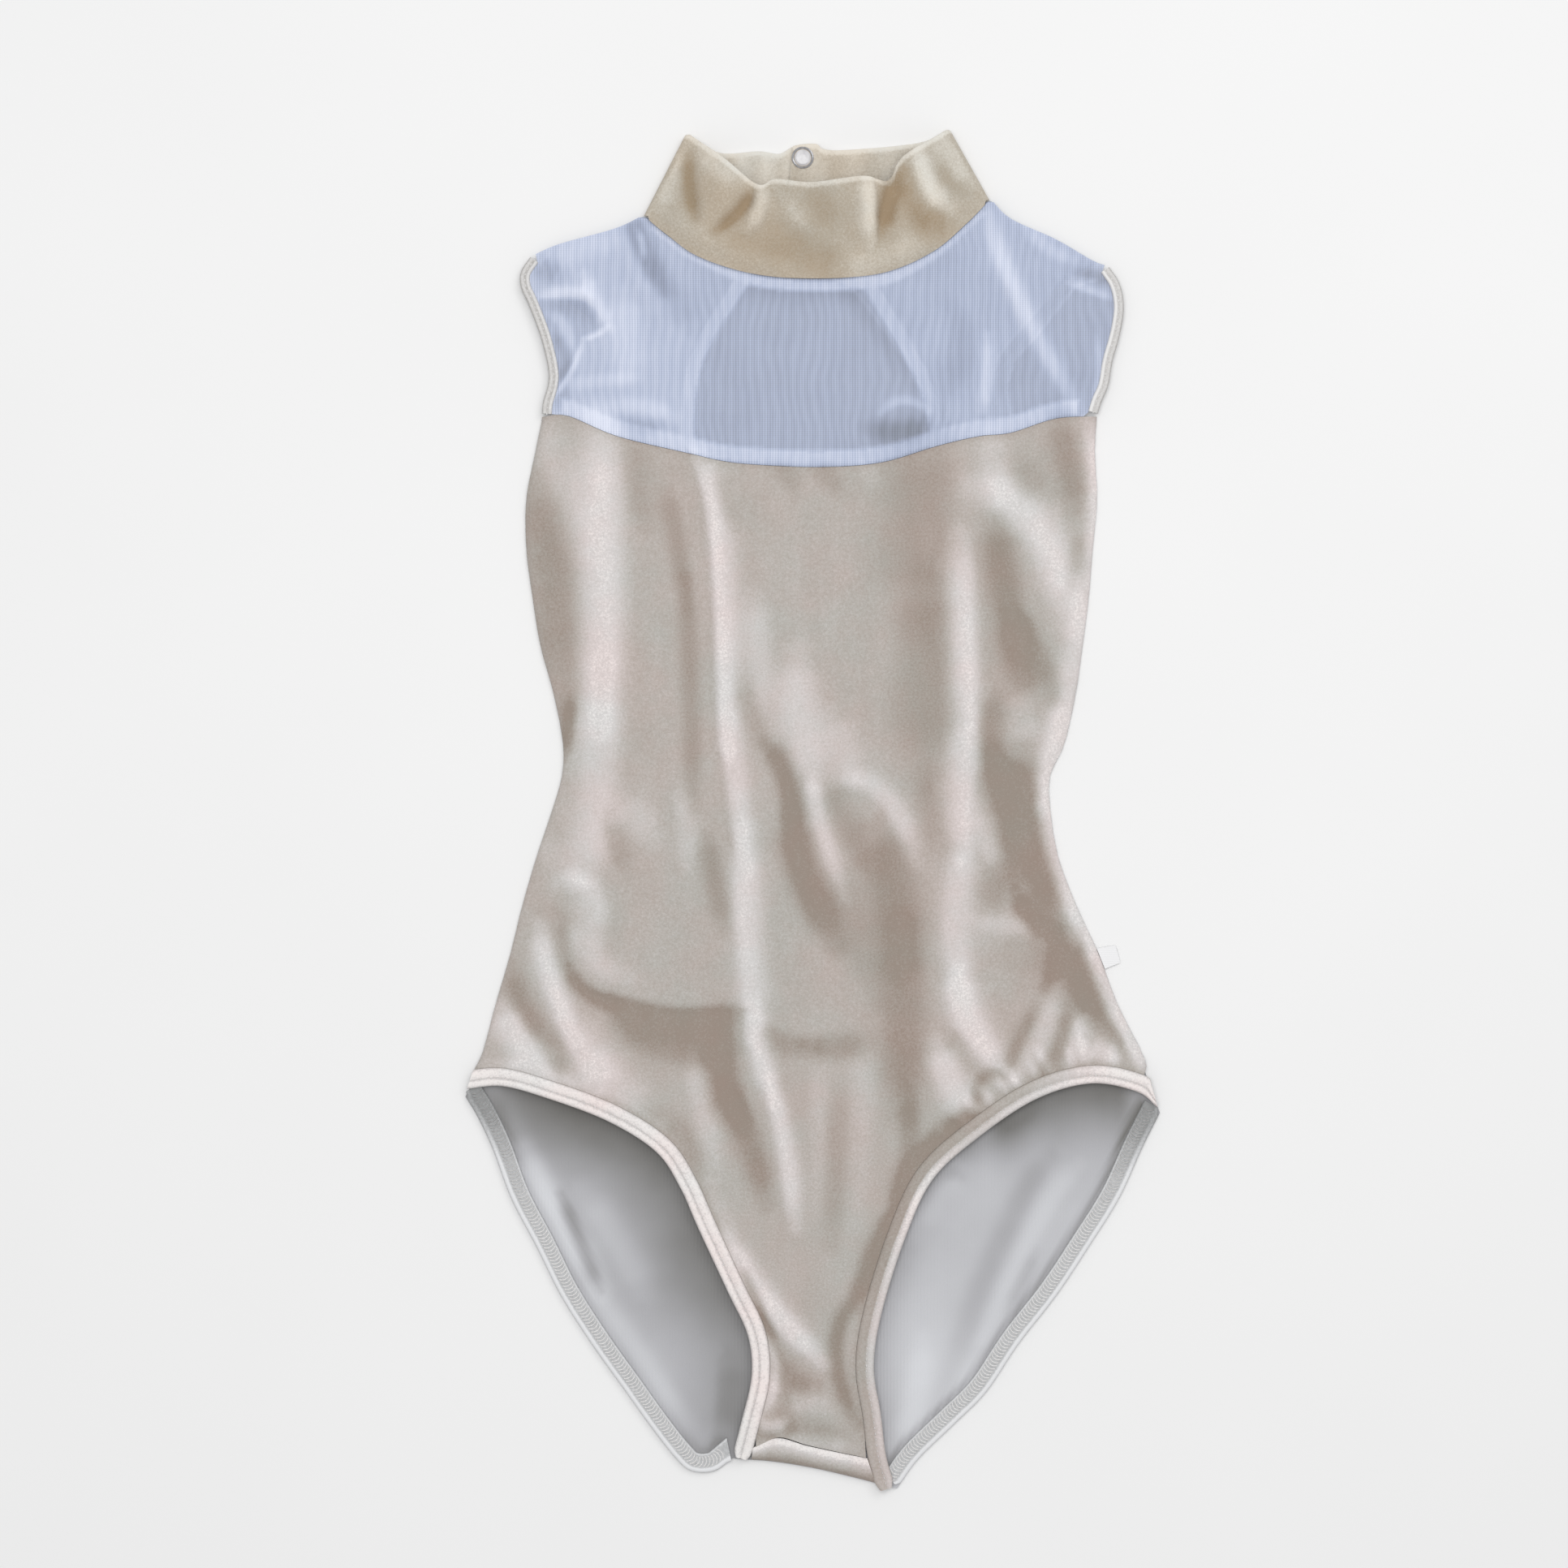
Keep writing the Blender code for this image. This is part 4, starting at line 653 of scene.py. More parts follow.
def wall(name, flat, faces, bottom, top, material, nap):
    """A closed cloth wall between two heights over the same triangles."""
    count = len(flat)
    points = np.concatenate([np.column_stack([flat, bottom]), np.column_stack([flat, top])])
    solid = [tuple(reversed(face)) for face in faces]
    solid += [tuple(i + count for i in face) for face in faces]
    solid += [(a, b, b + count, a + count) for a, b in rim_of(faces)]
    return finish_piece(name, points, solid, material, np.tile(nap, 2))


def skin(name, flat, faces, height, material, nap):
    """A single open layer of net."""
    return finish_piece(name, np.column_stack([flat, height]), faces, material, nap, closed=False, sharp=0)


# Materials

def new_material(name):
    material = bpy.data.materials.new(name)
    material.use_nodes = True
    return material, material.node_tree, material.node_tree.nodes["Principled BSDF"]


def link(tree, start, end):
    tree.links.new(start, end)


def node(tree, kind, **values):
    made = tree.nodes.new(kind)
    for key, value in values.items():
        if key in made.inputs:
            made.inputs[key].default_value = value
        else:
            setattr(made, key, value)
    return made


def maths(tree, operation, first, second=None):
    made = tree.nodes.new("ShaderNodeMath")
    made.operation = operation
    for socket, value in zip(made.inputs, (first, second)):
        if value is None:
            continue
        if isinstance(value, (int, float)):
            socket.default_value = value
        else:
            link(tree, value, socket)
    return made.outputs[0]


def ramp(tree, factor, stops):
    made = tree.nodes.new("ShaderNodeValToRGB")
    elements = made.color_ramp.elements
    while len(elements) < len(stops):
        elements.new(0.5)
    for element, (position, colour) in zip(elements, stops):
        element.position = position
        element.color = (*colour, 1)
    link(tree, factor, made.inputs["Fac"])
    return made.outputs["Color"]


def noise(tree, place, scale, detail=2.0, roughness=0.5):
    made = tree.nodes.new("ShaderNodeTexNoise")
    made.inputs["Scale"].default_value = scale
    made.inputs["Detail"].default_value = detail
    made.inputs["Roughness"].default_value = roughness
    link(tree, place, made.inputs["Vector"])
    return made.outputs["Fac"]


def bump(tree, shader, height, strength, distance, below=None):
    made = tree.nodes.new("ShaderNodeBump")
    made.inputs["Strength"].default_value = strength
    made.inputs["Distance"].default_value = distance
    link(tree, height, made.inputs["Height"])
    if below is not None:
        link(tree, below, made.inputs["Normal"])
    link(tree, made.outputs["Normal"], shader.inputs["Normal"])
    return made.outputs["Normal"]


def object_place(tree):
    return tree.nodes.new("ShaderNodeTexCoord").outputs["Object"]


def velvet(name, dark, base, pale, palest, blush, sheen_tint):
    """Stretch velvet: its colour follows a point attribute of painted highlight and shade from
    its folds and rolled edges, with some of the pile's own tone, over a fine grain of pile.
    """
    material, tree, shader = new_material(name)
    place = object_place(tree)
    nap = tree.nodes.new("ShaderNodeAttribute")
    nap.attribute_name = "nap"
    drift = maths(tree, "MULTIPLY", maths(tree, "SUBTRACT", noise(tree, place, 30, 3), 0.5), 0.16)
    drawn = tree.nodes.new("ShaderNodeMapping")
    drawn.inputs["Scale"].default_value = (1.0, 0.22, 1.0)
    link(tree, place, drawn.inputs["Vector"])
    streak = maths(tree, "SUBTRACT", noise(tree, drawn.outputs["Vector"], 110, 3), 0.5)
    drift = maths(tree, "ADD", drift, maths(tree, "MULTIPLY", streak, 0.14))
    pile = maths(tree, "MULTIPLY", maths(tree, "SUBTRACT", noise(tree, place, 900, 2, 0.8), 0.5), 0.6)
    tone_with_painted_light = maths(tree, "ADD", maths(tree, "ADD", nap.outputs["Fac"], drift), pile)
    colour = ramp(tree, tone_with_painted_light, [(0.0, dark), (0.42, base), (0.84, pale), (1.0, palest)])
    tint = tree.nodes.new("ShaderNodeMix")
    tint.data_type = "RGBA"
    tint.blend_type = "MULTIPLY"
    link(tree, ramp(tree, noise(tree, place, 24, 3, 0.6), [(0.36, (0.99, 1, 0.985)), (0.64, blush)]),
         tint.inputs["B"])
    link(tree, colour, tint.inputs["A"])
    tint.inputs["Factor"].default_value = 1.0
    link(tree, tint.outputs["Result"], shader.inputs["Base Color"])
    shader.inputs["Roughness"].default_value = 0.85
    shader.inputs["Specular IOR Level"].default_value = 0.12
    shader.inputs["Sheen Weight"].default_value = 0.22
    shader.inputs["Sheen Roughness"].default_value = 0.5
    shader.inputs["Sheen Tint"].default_value = (*sheen_tint, 1)
    bump(tree, shader, noise(tree, place, 1300, 2, 0.6), 0.5, 0.0004)
    return material


def body_velvet():
    return velvet("champagne_velvet", (0.315, 0.268, 0.232), (0.466, 0.442, 0.415), (0.672, 0.648, 0.65), (0.86, 0.83, 0.825),
                  (1.03, 0.955, 0.935), (1.0, 0.96, 0.95))


def collar_velvet():
    return velvet("cream_velvet", (0.34, 0.265, 0.185), (0.455, 0.405, 0.34), (0.70, 0.665, 0.61), (0.76, 0.735, 0.69),
                  (1.02, 0.975, 0.91), (1.0, 0.95, 0.88))


def reverse_knit():
    """The velvet's matt knitted back, cool and grey beside the pile. Its colour follows a
    point attribute that carries painted shadow under the front's leg bands, at the top of
    the openings and beside the casings, painted light low down, and painted fold shading.
    """
    material, tree, shader = new_material("velvet_reverse_knit")
    place = object_place(tree)
    nap = tree.nodes.new("ShaderNodeAttribute")
    nap.attribute_name = "nap"
    drift = maths(tree, "MULTIPLY", maths(tree, "SUBTRACT", noise(tree, place, 18, 3), 0.5), 0.25)
    tone_with_painted_light = maths(tree, "ADD", nap.outputs["Fac"], drift)
    colour = ramp(tree, tone_with_painted_light, [(0.0, (0.17, 0.165, 0.155)), (0.5, (0.45, 0.45, 0.47)), (0.95, (0.70, 0.71, 0.74))])
    link(tree, colour, shader.inputs["Base Color"])
    ribs = tree.nodes.new("ShaderNodeTexWave")
    ribs.inputs["Scale"].default_value = 190
    ribs.inputs["Distortion"].default_value = 0.6
    ribs.inputs["Detail"].default_value = 2
    link(tree, place, ribs.inputs["Vector"])
    shader.inputs["Roughness"].default_value = 0.85
    shader.inputs["Specular IOR Level"].default_value = 0.2
    first = bump(tree, shader, ribs.outputs["Fac"], 0.3, 0.0003)
    bump(tree, shader, noise(tree, place, 900), 0.2, 0.0003, first)
    return material


def power_net(name, cover, turn):
    """Sheer net: close upright ribs with a fine ladder between them. Its tone is paler
    where it lies double, and it follows a point attribute that also carries painted shade
    and highlight from the folds under it; where that attribute is higher it is also more opaque."""
    material, tree, shader = new_material(name)
    place = object_place(tree)
    turned = tree.nodes.new("ShaderNodeMapping")
    turned.inputs["Rotation"].default_value = (0, 0, math.radians(turn))
    link(tree, place, turned.inputs["Vector"])
    ribs = tree.nodes.new("ShaderNodeTexWave")
    ribs.inputs["Scale"].default_value = 241
    ribs.inputs["Distortion"].default_value = 0.7
    ribs.inputs["Detail"].default_value = 1
    ribs.inputs["Detail Scale"].default_value = 0.6
    link(tree, turned.outputs["Vector"], ribs.inputs["Vector"])
    rungs = tree.nodes.new("ShaderNodeTexWave")
    rungs.bands_direction = "Y"
    rungs.inputs["Scale"].default_value = 320
    rungs.inputs["Distortion"].default_value = 0.8
    link(tree, turned.outputs["Vector"], rungs.inputs["Vector"])
    nap = tree.nodes.new("ShaderNodeAttribute")
    nap.attribute_name = "nap"
    weave = maths(tree, "ADD", maths(tree, "MULTIPLY", ribs.outputs["Fac"], 0.14),
                  maths(tree, "MULTIPLY", rungs.outputs["Fac"], 0.06))
    fold = maths(tree, "MULTIPLY", maths(tree, "SUBTRACT", nap.outputs["Fac"], 0.45), 0.3)
    alpha = maths(tree, "ADD", maths(tree, "ADD", weave, cover - 0.10), fold)
    made = maths(tree, "MINIMUM", maths(tree, "MAXIMUM", alpha, 0.1), 1.0)
    link(tree, made, shader.inputs["Alpha"])
    drift = maths(tree, "MULTIPLY", maths(tree, "SUBTRACT", noise(tree, place, 55, 3), 0.5), 0.16)
    waves = tree.nodes.new("ShaderNodeTexWave")
    waves.inputs["Scale"].default_value = 60
    waves.inputs["Distortion"].default_value = 9
    waves.inputs["Detail"].default_value = 1
    waves.inputs["Detail Scale"].default_value = 0.5
    link(tree, place, waves.inputs["Vector"])
    drift = maths(tree, "ADD", drift, maths(tree, "MULTIPLY", maths(tree, "SUBTRACT", waves.outputs["Fac"], 0.5), 0.07))
    tone_with_painted_light = maths(tree, "ADD", maths(tree, "ADD", nap.outputs["Fac"], drift),
                maths(tree, "MULTIPLY", maths(tree, "SUBTRACT", weave, 0.10), 0.9))
    link(tree, ramp(tree, tone_with_painted_light, [(0.0, (0.20, 0.225, 0.28)), (0.30, (0.36, 0.40, 0.52)), (0.56, (0.50, 0.56, 0.72)),
                                (0.95, (0.76, 0.80, 0.93))]), shader.inputs["Base Color"])
    shader.inputs["Roughness"].default_value = 0.7
    shader.inputs["Specular IOR Level"].default_value = 0.2
    bump(tree, shader, ribs.outputs["Fac"], 0.25, 0.0003)
    return material


def elastic_knit(name, shaded, lit, grains_per_metre):
    """Elastic and binding tape with a fine grain; a point attribute paints highlight on its
    rolls and shade where it turns away from the light.
    """
    material, tree, shader = new_material(name)
    place = object_place(tree)
    nap = tree.nodes.new("ShaderNodeAttribute")
    nap.attribute_name = "nap"
    grain = noise(tree, place, grains_per_metre, 2, 0.6)
    tone_with_painted_light = maths(tree, "ADD", nap.outputs["Fac"], maths(tree, "MULTIPLY", maths(tree, "SUBTRACT", grain, 0.5), 0.5))
    link(tree, ramp(tree, tone_with_painted_light, [(0.1, shaded), (0.85, lit)]), shader.inputs["Base Color"])
    shader.inputs["Roughness"].default_value = 0.8
    shader.inputs["Sheen Weight"].default_value = 0.15
    shader.inputs["Sheen Roughness"].default_value = 0.4
    bump(tree, shader, grain, 0.4, 0.0003)
    return material


def thread(name, hip_shade=1.0):
    """Pale sewing thread, darker by hip_shade where it lies in the hips' shade."""
    material, tree, shader = new_material(name)
    place = object_place(tree)
    colour = ramp(tree, noise(tree, place, 1500, 1), [(0.3, (0.60, 0.59, 0.585)), (0.7, (0.82, 0.81, 0.805))])
    parts = tree.nodes.new("ShaderNodeSeparateXYZ")
    link(tree, place, parts.inputs["Vector"])
    shade = ramp(tree, maths(tree, "MULTIPLY", parts.outputs["Y"], -1.0),
                 [(0.145, (hip_shade, hip_shade, hip_shade)), (0.205, (1, 1, 1))])
    tint = tree.nodes.new("ShaderNodeMix")
    tint.data_type = "RGBA"
    tint.blend_type = "MULTIPLY"
    tint.inputs["Factor"].default_value = 1.0
    link(tree, colour, tint.inputs["A"])
    link(tree, shade, tint.inputs["B"])
    link(tree, tint.outputs["Result"], shader.inputs["Base Color"])
    shader.inputs["Roughness"].default_value = 0.5
    return material


def label_weave():
    material, tree, shader = new_material("label_tape_weave")
    place = object_place(tree)
    rows = tree.nodes.new("ShaderNodeTexWave")
    rows.bands_direction = "Y"
    rows.inputs["Scale"].default_value = 500
    link(tree, place, rows.inputs["Vector"])
    link(tree, ramp(tree, rows.outputs["Fac"], [(0.0, (0.80, 0.80, 0.81)), (1.0, (0.90, 0.90, 0.91))]),
         shader.inputs["Base Color"])
    shader.inputs["Roughness"].default_value = 0.55
    bump(tree, shader, rows.outputs["Fac"], 0.3, 0.0002)
    return material


def snap_metal():
    material, tree, shader = new_material("nickel_ring")
    place = object_place(tree)
    wear = noise(tree, place, 700, 2)
    link(tree, ramp(tree, wear, [(0.3, (0.42, 0.42, 0.44)), (0.7, (0.60, 0.60, 0.62))]),
         shader.inputs["Base Color"])
    shader.inputs["Metallic"].default_value = 1.0
    shader.inputs["Roughness"].default_value = 0.28
    bump(tree, shader, wear, 0.1, 0.0001)
    return material


def snap_pearl():
    material, tree, shader = new_material("pearl_cap")
    place = object_place(tree)
    cloud = noise(tree, place, 320, 3)
    link(tree, ramp(tree, cloud, [(0.3, (0.56, 0.55, 0.57)), (0.7, (0.74, 0.73, 0.74))]),
         shader.inputs["Base Color"])
    shader.inputs["Roughness"].default_value = 0.3
    shader.inputs["Coat Weight"].default_value = 0.5
    return material


def floor_paint():
    material, tree, shader = new_material("pale_floor")
    place = object_place(tree)
    link(tree, ramp(tree, noise(tree, place, 6, 2), [(0.3, (0.87, 0.87, 0.87)), (0.7, (0.88, 0.88, 0.88))]),
         shader.inputs["Base Color"])
    shader.inputs["Roughness"].default_value = 0.9
    shader.inputs["Specular IOR Level"].default_value = 0.1
    return material


# Stitches

def thread_bead(tree):
    """A straight stitch, to be scaled to its length and thickness."""
    bead = tree.nodes.new("GeometryNodeMeshIcoSphere")
    bead.inputs["Radius"].default_value = 1.0
    bead.inputs["Subdivisions"].default_value = 1
    return bead.outputs["Mesh"]


def thread_bow(tree):
    """A stitch bowed across the tape, in its real size."""
    arc = tree.nodes.new("GeometryNodeCurveArc")
    arc.inputs["Resolution"].default_value = 7
    arc.inputs["Radius"].default_value = BOW_RADIUS * MM
    arc.inputs["Start Angle"].default_value = math.radians(90 - BOW_SWEEP / 2)
    arc.inputs["Sweep Angle"].default_value = math.radians(BOW_SWEEP)
    round_thread = tree.nodes.new("GeometryNodeCurvePrimitiveCircle")
    round_thread.inputs["Resolution"].default_value = 5
    round_thread.inputs["Radius"].default_value = BOW_THREAD * MM
    made = tree.nodes.new("GeometryNodeCurveToMesh")
    made.inputs["Fill Caps"].default_value = True
    tree.links.new(arc.outputs["Curve"], made.inputs["Curve"])
    tree.links.new(round_thread.outputs["Curve"], made.inputs["Profile Curve"])
    return made.outputs["Mesh"]


def stitch_tree(name, stitch):
    """Stitches of one kind, set out along a curve."""
    tree = bpy.data.node_groups.new(name, "GeometryNodeTree")
    tree.interface.new_socket("Geometry", in_out="INPUT", socket_type="NodeSocketGeometry")
    for name, value in (("Spacing", 0.002), ("Length", 0.002), ("Thread", 0.0002), ("Turn", 0.0)):
        socket = tree.interface.new_socket(name, in_out="INPUT", socket_type="NodeSocketFloat")
        socket.default_value = value
    tree.interface.new_socket("Material", in_out="INPUT", socket_type="NodeSocketMaterial")
    tree.interface.new_socket("Geometry", in_out="OUTPUT", socket_type="NodeSocketGeometry")
    inputs = tree.nodes.new("NodeGroupInput")
    output = tree.nodes.new("NodeGroupOutput")
    points = tree.nodes.new("GeometryNodeCurveToPoints")
    points.mode = "LENGTH"
    half = tree.nodes.new("ShaderNodeMath")
    half.operation = "MULTIPLY"
    half.inputs[1].default_value = 0.5
    size = tree.nodes.new("ShaderNodeCombineXYZ")
    angles = tree.nodes.new("ShaderNodeCombineXYZ")
    turn = tree.nodes.new("FunctionNodeEulerToRotation")
    rotate = tree.nodes.new("FunctionNodeRotateRotation")
    rotate.rotation_space = "LOCAL"
    place = tree.nodes.new("GeometryNodeInstanceOnPoints")
    realize = tree.nodes.new("GeometryNodeRealizeInstances")
    shade = tree.nodes.new("GeometryNodeSetShadeSmooth")
    paint = tree.nodes.new("GeometryNodeSetMaterial")
    join = tree.links.new
    join(inputs.outputs["Geometry"], points.inputs["Curve"])
    join(inputs.outputs["Spacing"], points.inputs["Length"])
    join(inputs.outputs["Length"], half.inputs[0])
    join(inputs.outputs["Thread"], size.inputs["X"])
    join(inputs.outputs["Thread"], size.inputs["Y"])
    join(half.outputs[0], size.inputs["Z"])
    join(inputs.outputs["Turn"], angles.inputs["X"])
    join(angles.outputs[0], turn.inputs["Euler"])
    join(points.outputs["Rotation"], rotate.inputs["Rotation"])
    join(turn.outputs["Rotation"], rotate.inputs["Rotate By"])
    join(points.outputs["Points"], place.inputs["Points"])
    join(stitch(tree), place.inputs["Instance"])
    join(rotate.outputs["Rotation"], place.inputs["Rotation"])
    join(size.outputs[0], place.inputs["Scale"])
    join(place.outputs["Instances"], realize.inputs["Geometry"])
    join(realize.outputs["Geometry"], shade.inputs["Geometry"])
    join(shade.outputs["Geometry"], paint.inputs["Geometry"])
    join(inputs.outputs["Material"], paint.inputs["Material"])
    join(paint.outputs["Geometry"], output.inputs["Geometry"])
    return tree


def stitch_row(name, tree, paths, material, spacing, length, width, turn=0.0):
    """Stitches along lines of (x, y, z) points, as one plain mesh."""
    curve = bpy.data.curves.new(name, "CURVE")
    curve.dimensions = "3D"
    curve.twist_mode = "Z_UP"
    for path in paths:
        run = curve.splines.new("POLY")
        run.points.add(len(path) - 1)
        for spot, place in zip(run.points, path):
            spot.co = (*point(*place), 1)
    guide = bpy.data.objects.new(name + "_guide", curve)
    bpy.context.scene.collection.objects.link(guide)
    modifier = guide.modifiers.new("stitches", "NODES")
    modifier.node_group = tree
    values = {"Spacing": spacing * MM, "Length": length * MM, "Thread": width * MM,
              "Turn": math.radians(turn), "Material": material}
    for item in tree.interface.items_tree:
        if item.in_out == "INPUT" and item.name in values:
            modifier[item.identifier] = values[item.name]
    found = bpy.context.evaluated_depsgraph_get()
    mesh = bpy.data.meshes.new_from_object(guide.evaluated_get(found), depsgraph=found)
    bpy.data.objects.remove(guide, do_unlink=True)
    mesh.name = name
    if not mesh.materials:
        mesh.materials.append(material)
    piece = bpy.data.objects.new(name, mesh)
    bpy.context.scene.collection.objects.link(piece)
    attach(piece, "root")
    return piece


# Strips and trims

# Profiles across the strips, from the outer edge: share of the width, crown height, and the painted highlight on each
# roll with painted shade in grooves and on slopes that turn away
EDGE_ROLL = [
    Ledge(0, 0.2, 0.7), Ledge(0.04, 0.62, 0.9), Ledge(0.11, 0.92, 1.0), Ledge(0.2, 1.0, 1.0),
    Ledge(0.3, 0.93, 1.0), Ledge(0.38, 0.74, 0.88), Ledge(0.44, 0.66, 0.72), Ledge(0.52, 0.80, 0.95),
    Ledge(0.66, 0.88, 1.0), Ledge(0.8, 0.86, 1.0), Ledge(0.92, 0.74, 0.92), Ledge(1, 0.45, 0.62),
]
BINDING_ROLL = [
    Ledge(0, 0.3, 0.25), Ledge(0.08, 0.75, 0.42), Ledge(0.2, 1.0, 0.62), Ledge(0.36, 0.95, 0.58),
    Ledge(0.5, 0.80, 0.48), Ledge(0.62, 0.84, 0.62), Ledge(0.72, 1.0, 1.0), Ledge(0.86, 1.02, 1.0),
    Ledge(0.95, 0.8, 0.9), Ledge(1, 0.35, 0.4),
]
CASING_ROLL = [
    Ledge(0, 0.3, 0.55), Ledge(0.05, 0.95, 0.85), Ledge(0.12, 1.28, 1.0), Ledge(0.2, 1.22, 0.9),
    Ledge(0.27, 0.92, 0.5), Ledge(0.34, 0.88, 0.40), Ledge(0.5, 0.95, 0.42), Ledge(0.7, 0.95, 0.42),
    Ledge(0.88, 0.92, 0.45), Ledge(0.95, 0.95, 0.75), Ledge(1, 0.5, 0.35),
]
FLAT_TURN = [
    Ledge(0, 0.3, 0.6), Ledge(0.05, 0.95, 0.8), Ledge(0.12, 1.2, 0.9), Ledge(0.2, 1.1, 0.8),
    Ledge(0.28, 0.9, 0.7), Ledge(0.5, 0.95, 0.72), Ledge(0.75, 0.95, 0.72), Ledge(0.93, 0.9, 0.72),
    Ledge(1, 0.5, 0.5),
]


def ripple(count, strength, seed):
    """An uneven run of small swells, as stitched elastic has."""
    steps = np.arange(count)
    return 1 + strength * (0.5 * np.sin(steps * 0.9 + seed) + 0.3 * np.sin(steps * 1.7 + 2.1 * seed)
                           + 0.2 * np.sin(steps * 2.9 + 0.7 * seed))


def strip(name, outer, inner, bottom, height, profile, material, shade=1.0, shade_from=0.5, roll_shade=1.0,
          swell=0.05, seed=1.0):
    """A closed strip between two lines, shaped across by its profile, whose values paint
    highlight and shade across it; shade and roll_shade add painted shade to the ledges from
    shade_from inward and to those outside it.
    """
    columns = []
    painted_light_and_tone_rows = []
    waves = ripple(len(outer), swell, seed)
    shade, roll_shade = np.ones(len(outer)) * shade, np.ones(len(outer)) * roll_shade
    for ledge in profile:
        line = outer + (inner - outer) * ledge.share
        columns.append(np.column_stack([line, bottom(line) + height * ledge.crown * waves]))
        painted_light_and_tone_rows.append(ledge.nap * (shade if ledge.share >= shade_from else roll_shade))
    # the underside is painted darker, at 0.6 of the top's values
    for ledge in reversed(profile):
        line = outer + (inner - outer) * ledge.share
        columns.append(np.column_stack([line, bottom(line)]))
        painted_light_and_tone_rows.append(np.full(len(outer), 0.6 * ledge.nap))
    return tube(name, np.array(columns), material, np.concatenate(painted_light_and_tone_rows))


def tube(name, columns, material, nap):
    around, along = columns.shape[:2]
    faces = []
    for i in range(around):
        near = i * along
        far = (i + 1) % around * along
        faces += [(near + j, near + j + 1, far + j + 1, far + j) for j in range(along - 1)]
    for end in (0, along - 1):
        ring = [i * along + end for i in range(around)]
        faces += [(ring[i], ring[i + 1], ring[around - 2 - i], ring[around - 1 - i]) for i in range(around // 2 - 1)]
    return finish_piece(name, columns.reshape(-1, 3), faces, material, nap)


def lifted(line, height):
    """A line's points with their height."""
    return np.column_stack([line, height])


def leg_lines(spots, side, inward):
    """A front leg opening's outer edge, the band's inner edge, and the panel's edge."""
    outer = spline(spots)
    inner = offset(outer, inward * LEG_BAND)
    panel = offset(outer, inward * (LEG_BAND + 0.1))
    side = np.vstack([side, outer[:1]])

    def past_side(line):
        limit = np.interp(line[:, 1], side[::-1, 1], side[::-1, 0])
        return (line[:, 1] > HIP_Y) & (inward * (line[:, 0] - limit) < 0), limit

    past, limit = past_side(inner)
    inner[past, 0] = limit[past]
    past, limit = past_side(panel)
    return outer, inner, panel[~past & (panel[:, 1] > CROTCH_Y)]


def seam_dip(x, y, lines):
    """How far the cloth dips into the seams beside it."""
    near = np.full(np.shape(x), np.inf)
    for line in lines:
        near = np.minimum(near, distance_to(line, x, y))
    return SEAM_DIP * np.exp(-(near / SEAM_REACH) ** 2)


def front_body(velvet_material):
    seam = spline(YOKE_SEAM) - np.array([0, 0.1])
    left_leg = leg_lines(LEFT_LEG, LEFT_SIDE, 1)[2]
    right_leg = leg_lines(RIGHT_LEG, RIGHT_SIDE, -1)[2]
    outline = np.concatenate([
        seam[::-1], LEFT_SIDE[1:-1], left_leg, spline(CROTCH_LINE), right_leg[::-1], RIGHT_SIDE[-2:0:-1],
    ])
    rolls = []
    for side, inward in ((LEFT_SIDE, 1), (RIGHT_SIDE, -1)):
        for depth in (0.6, 1.5, 2.8):
            rolls.append(offset(share_of(side, 0.01, 0.97), inward * depth))
    flat, faces = fill(outline, FRONT_STEP, rolls)
    x, y = flat[:, 0], flat[:, 1]
    low, nap = front_shape(x, y)
    reach = np.minimum(distance_to(SEAMED_SIDES[0], x, y), distance_to(SEAMED_SIDES[1], x, y))
    round_over = np.sqrt(np.clip(1 - (1 - np.clip(reach / ROLL, 0, 1)) ** 2, 0, 1))
    low = 0.1 + (low - 0.1) * round_over
    dip = seam_dip(x, y, [seam, left_leg, right_leg])
    top = low + VELVET * (0.55 + 0.45 * round_over) - dip
    # Painted shade: darker on slopes that face west, away from the key light, and along the seams; the folds' painted
    # highlight is capped at PALEST_FOLD.
    slope = front_underside(x + 1.5, y) - front_underside(x - 1.5, y)
    tone_with_painted_light = np.minimum(0.42 + nap - 0.05 * slope, PALEST_FOLD) - 0.35 * dip
    piece = wall("front_body_velvet", flat, faces, low - 0.4 * dip, top, velvet_material, np.clip(tone_with_painted_light, 0, 1))
    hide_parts("front_body")
    return piece


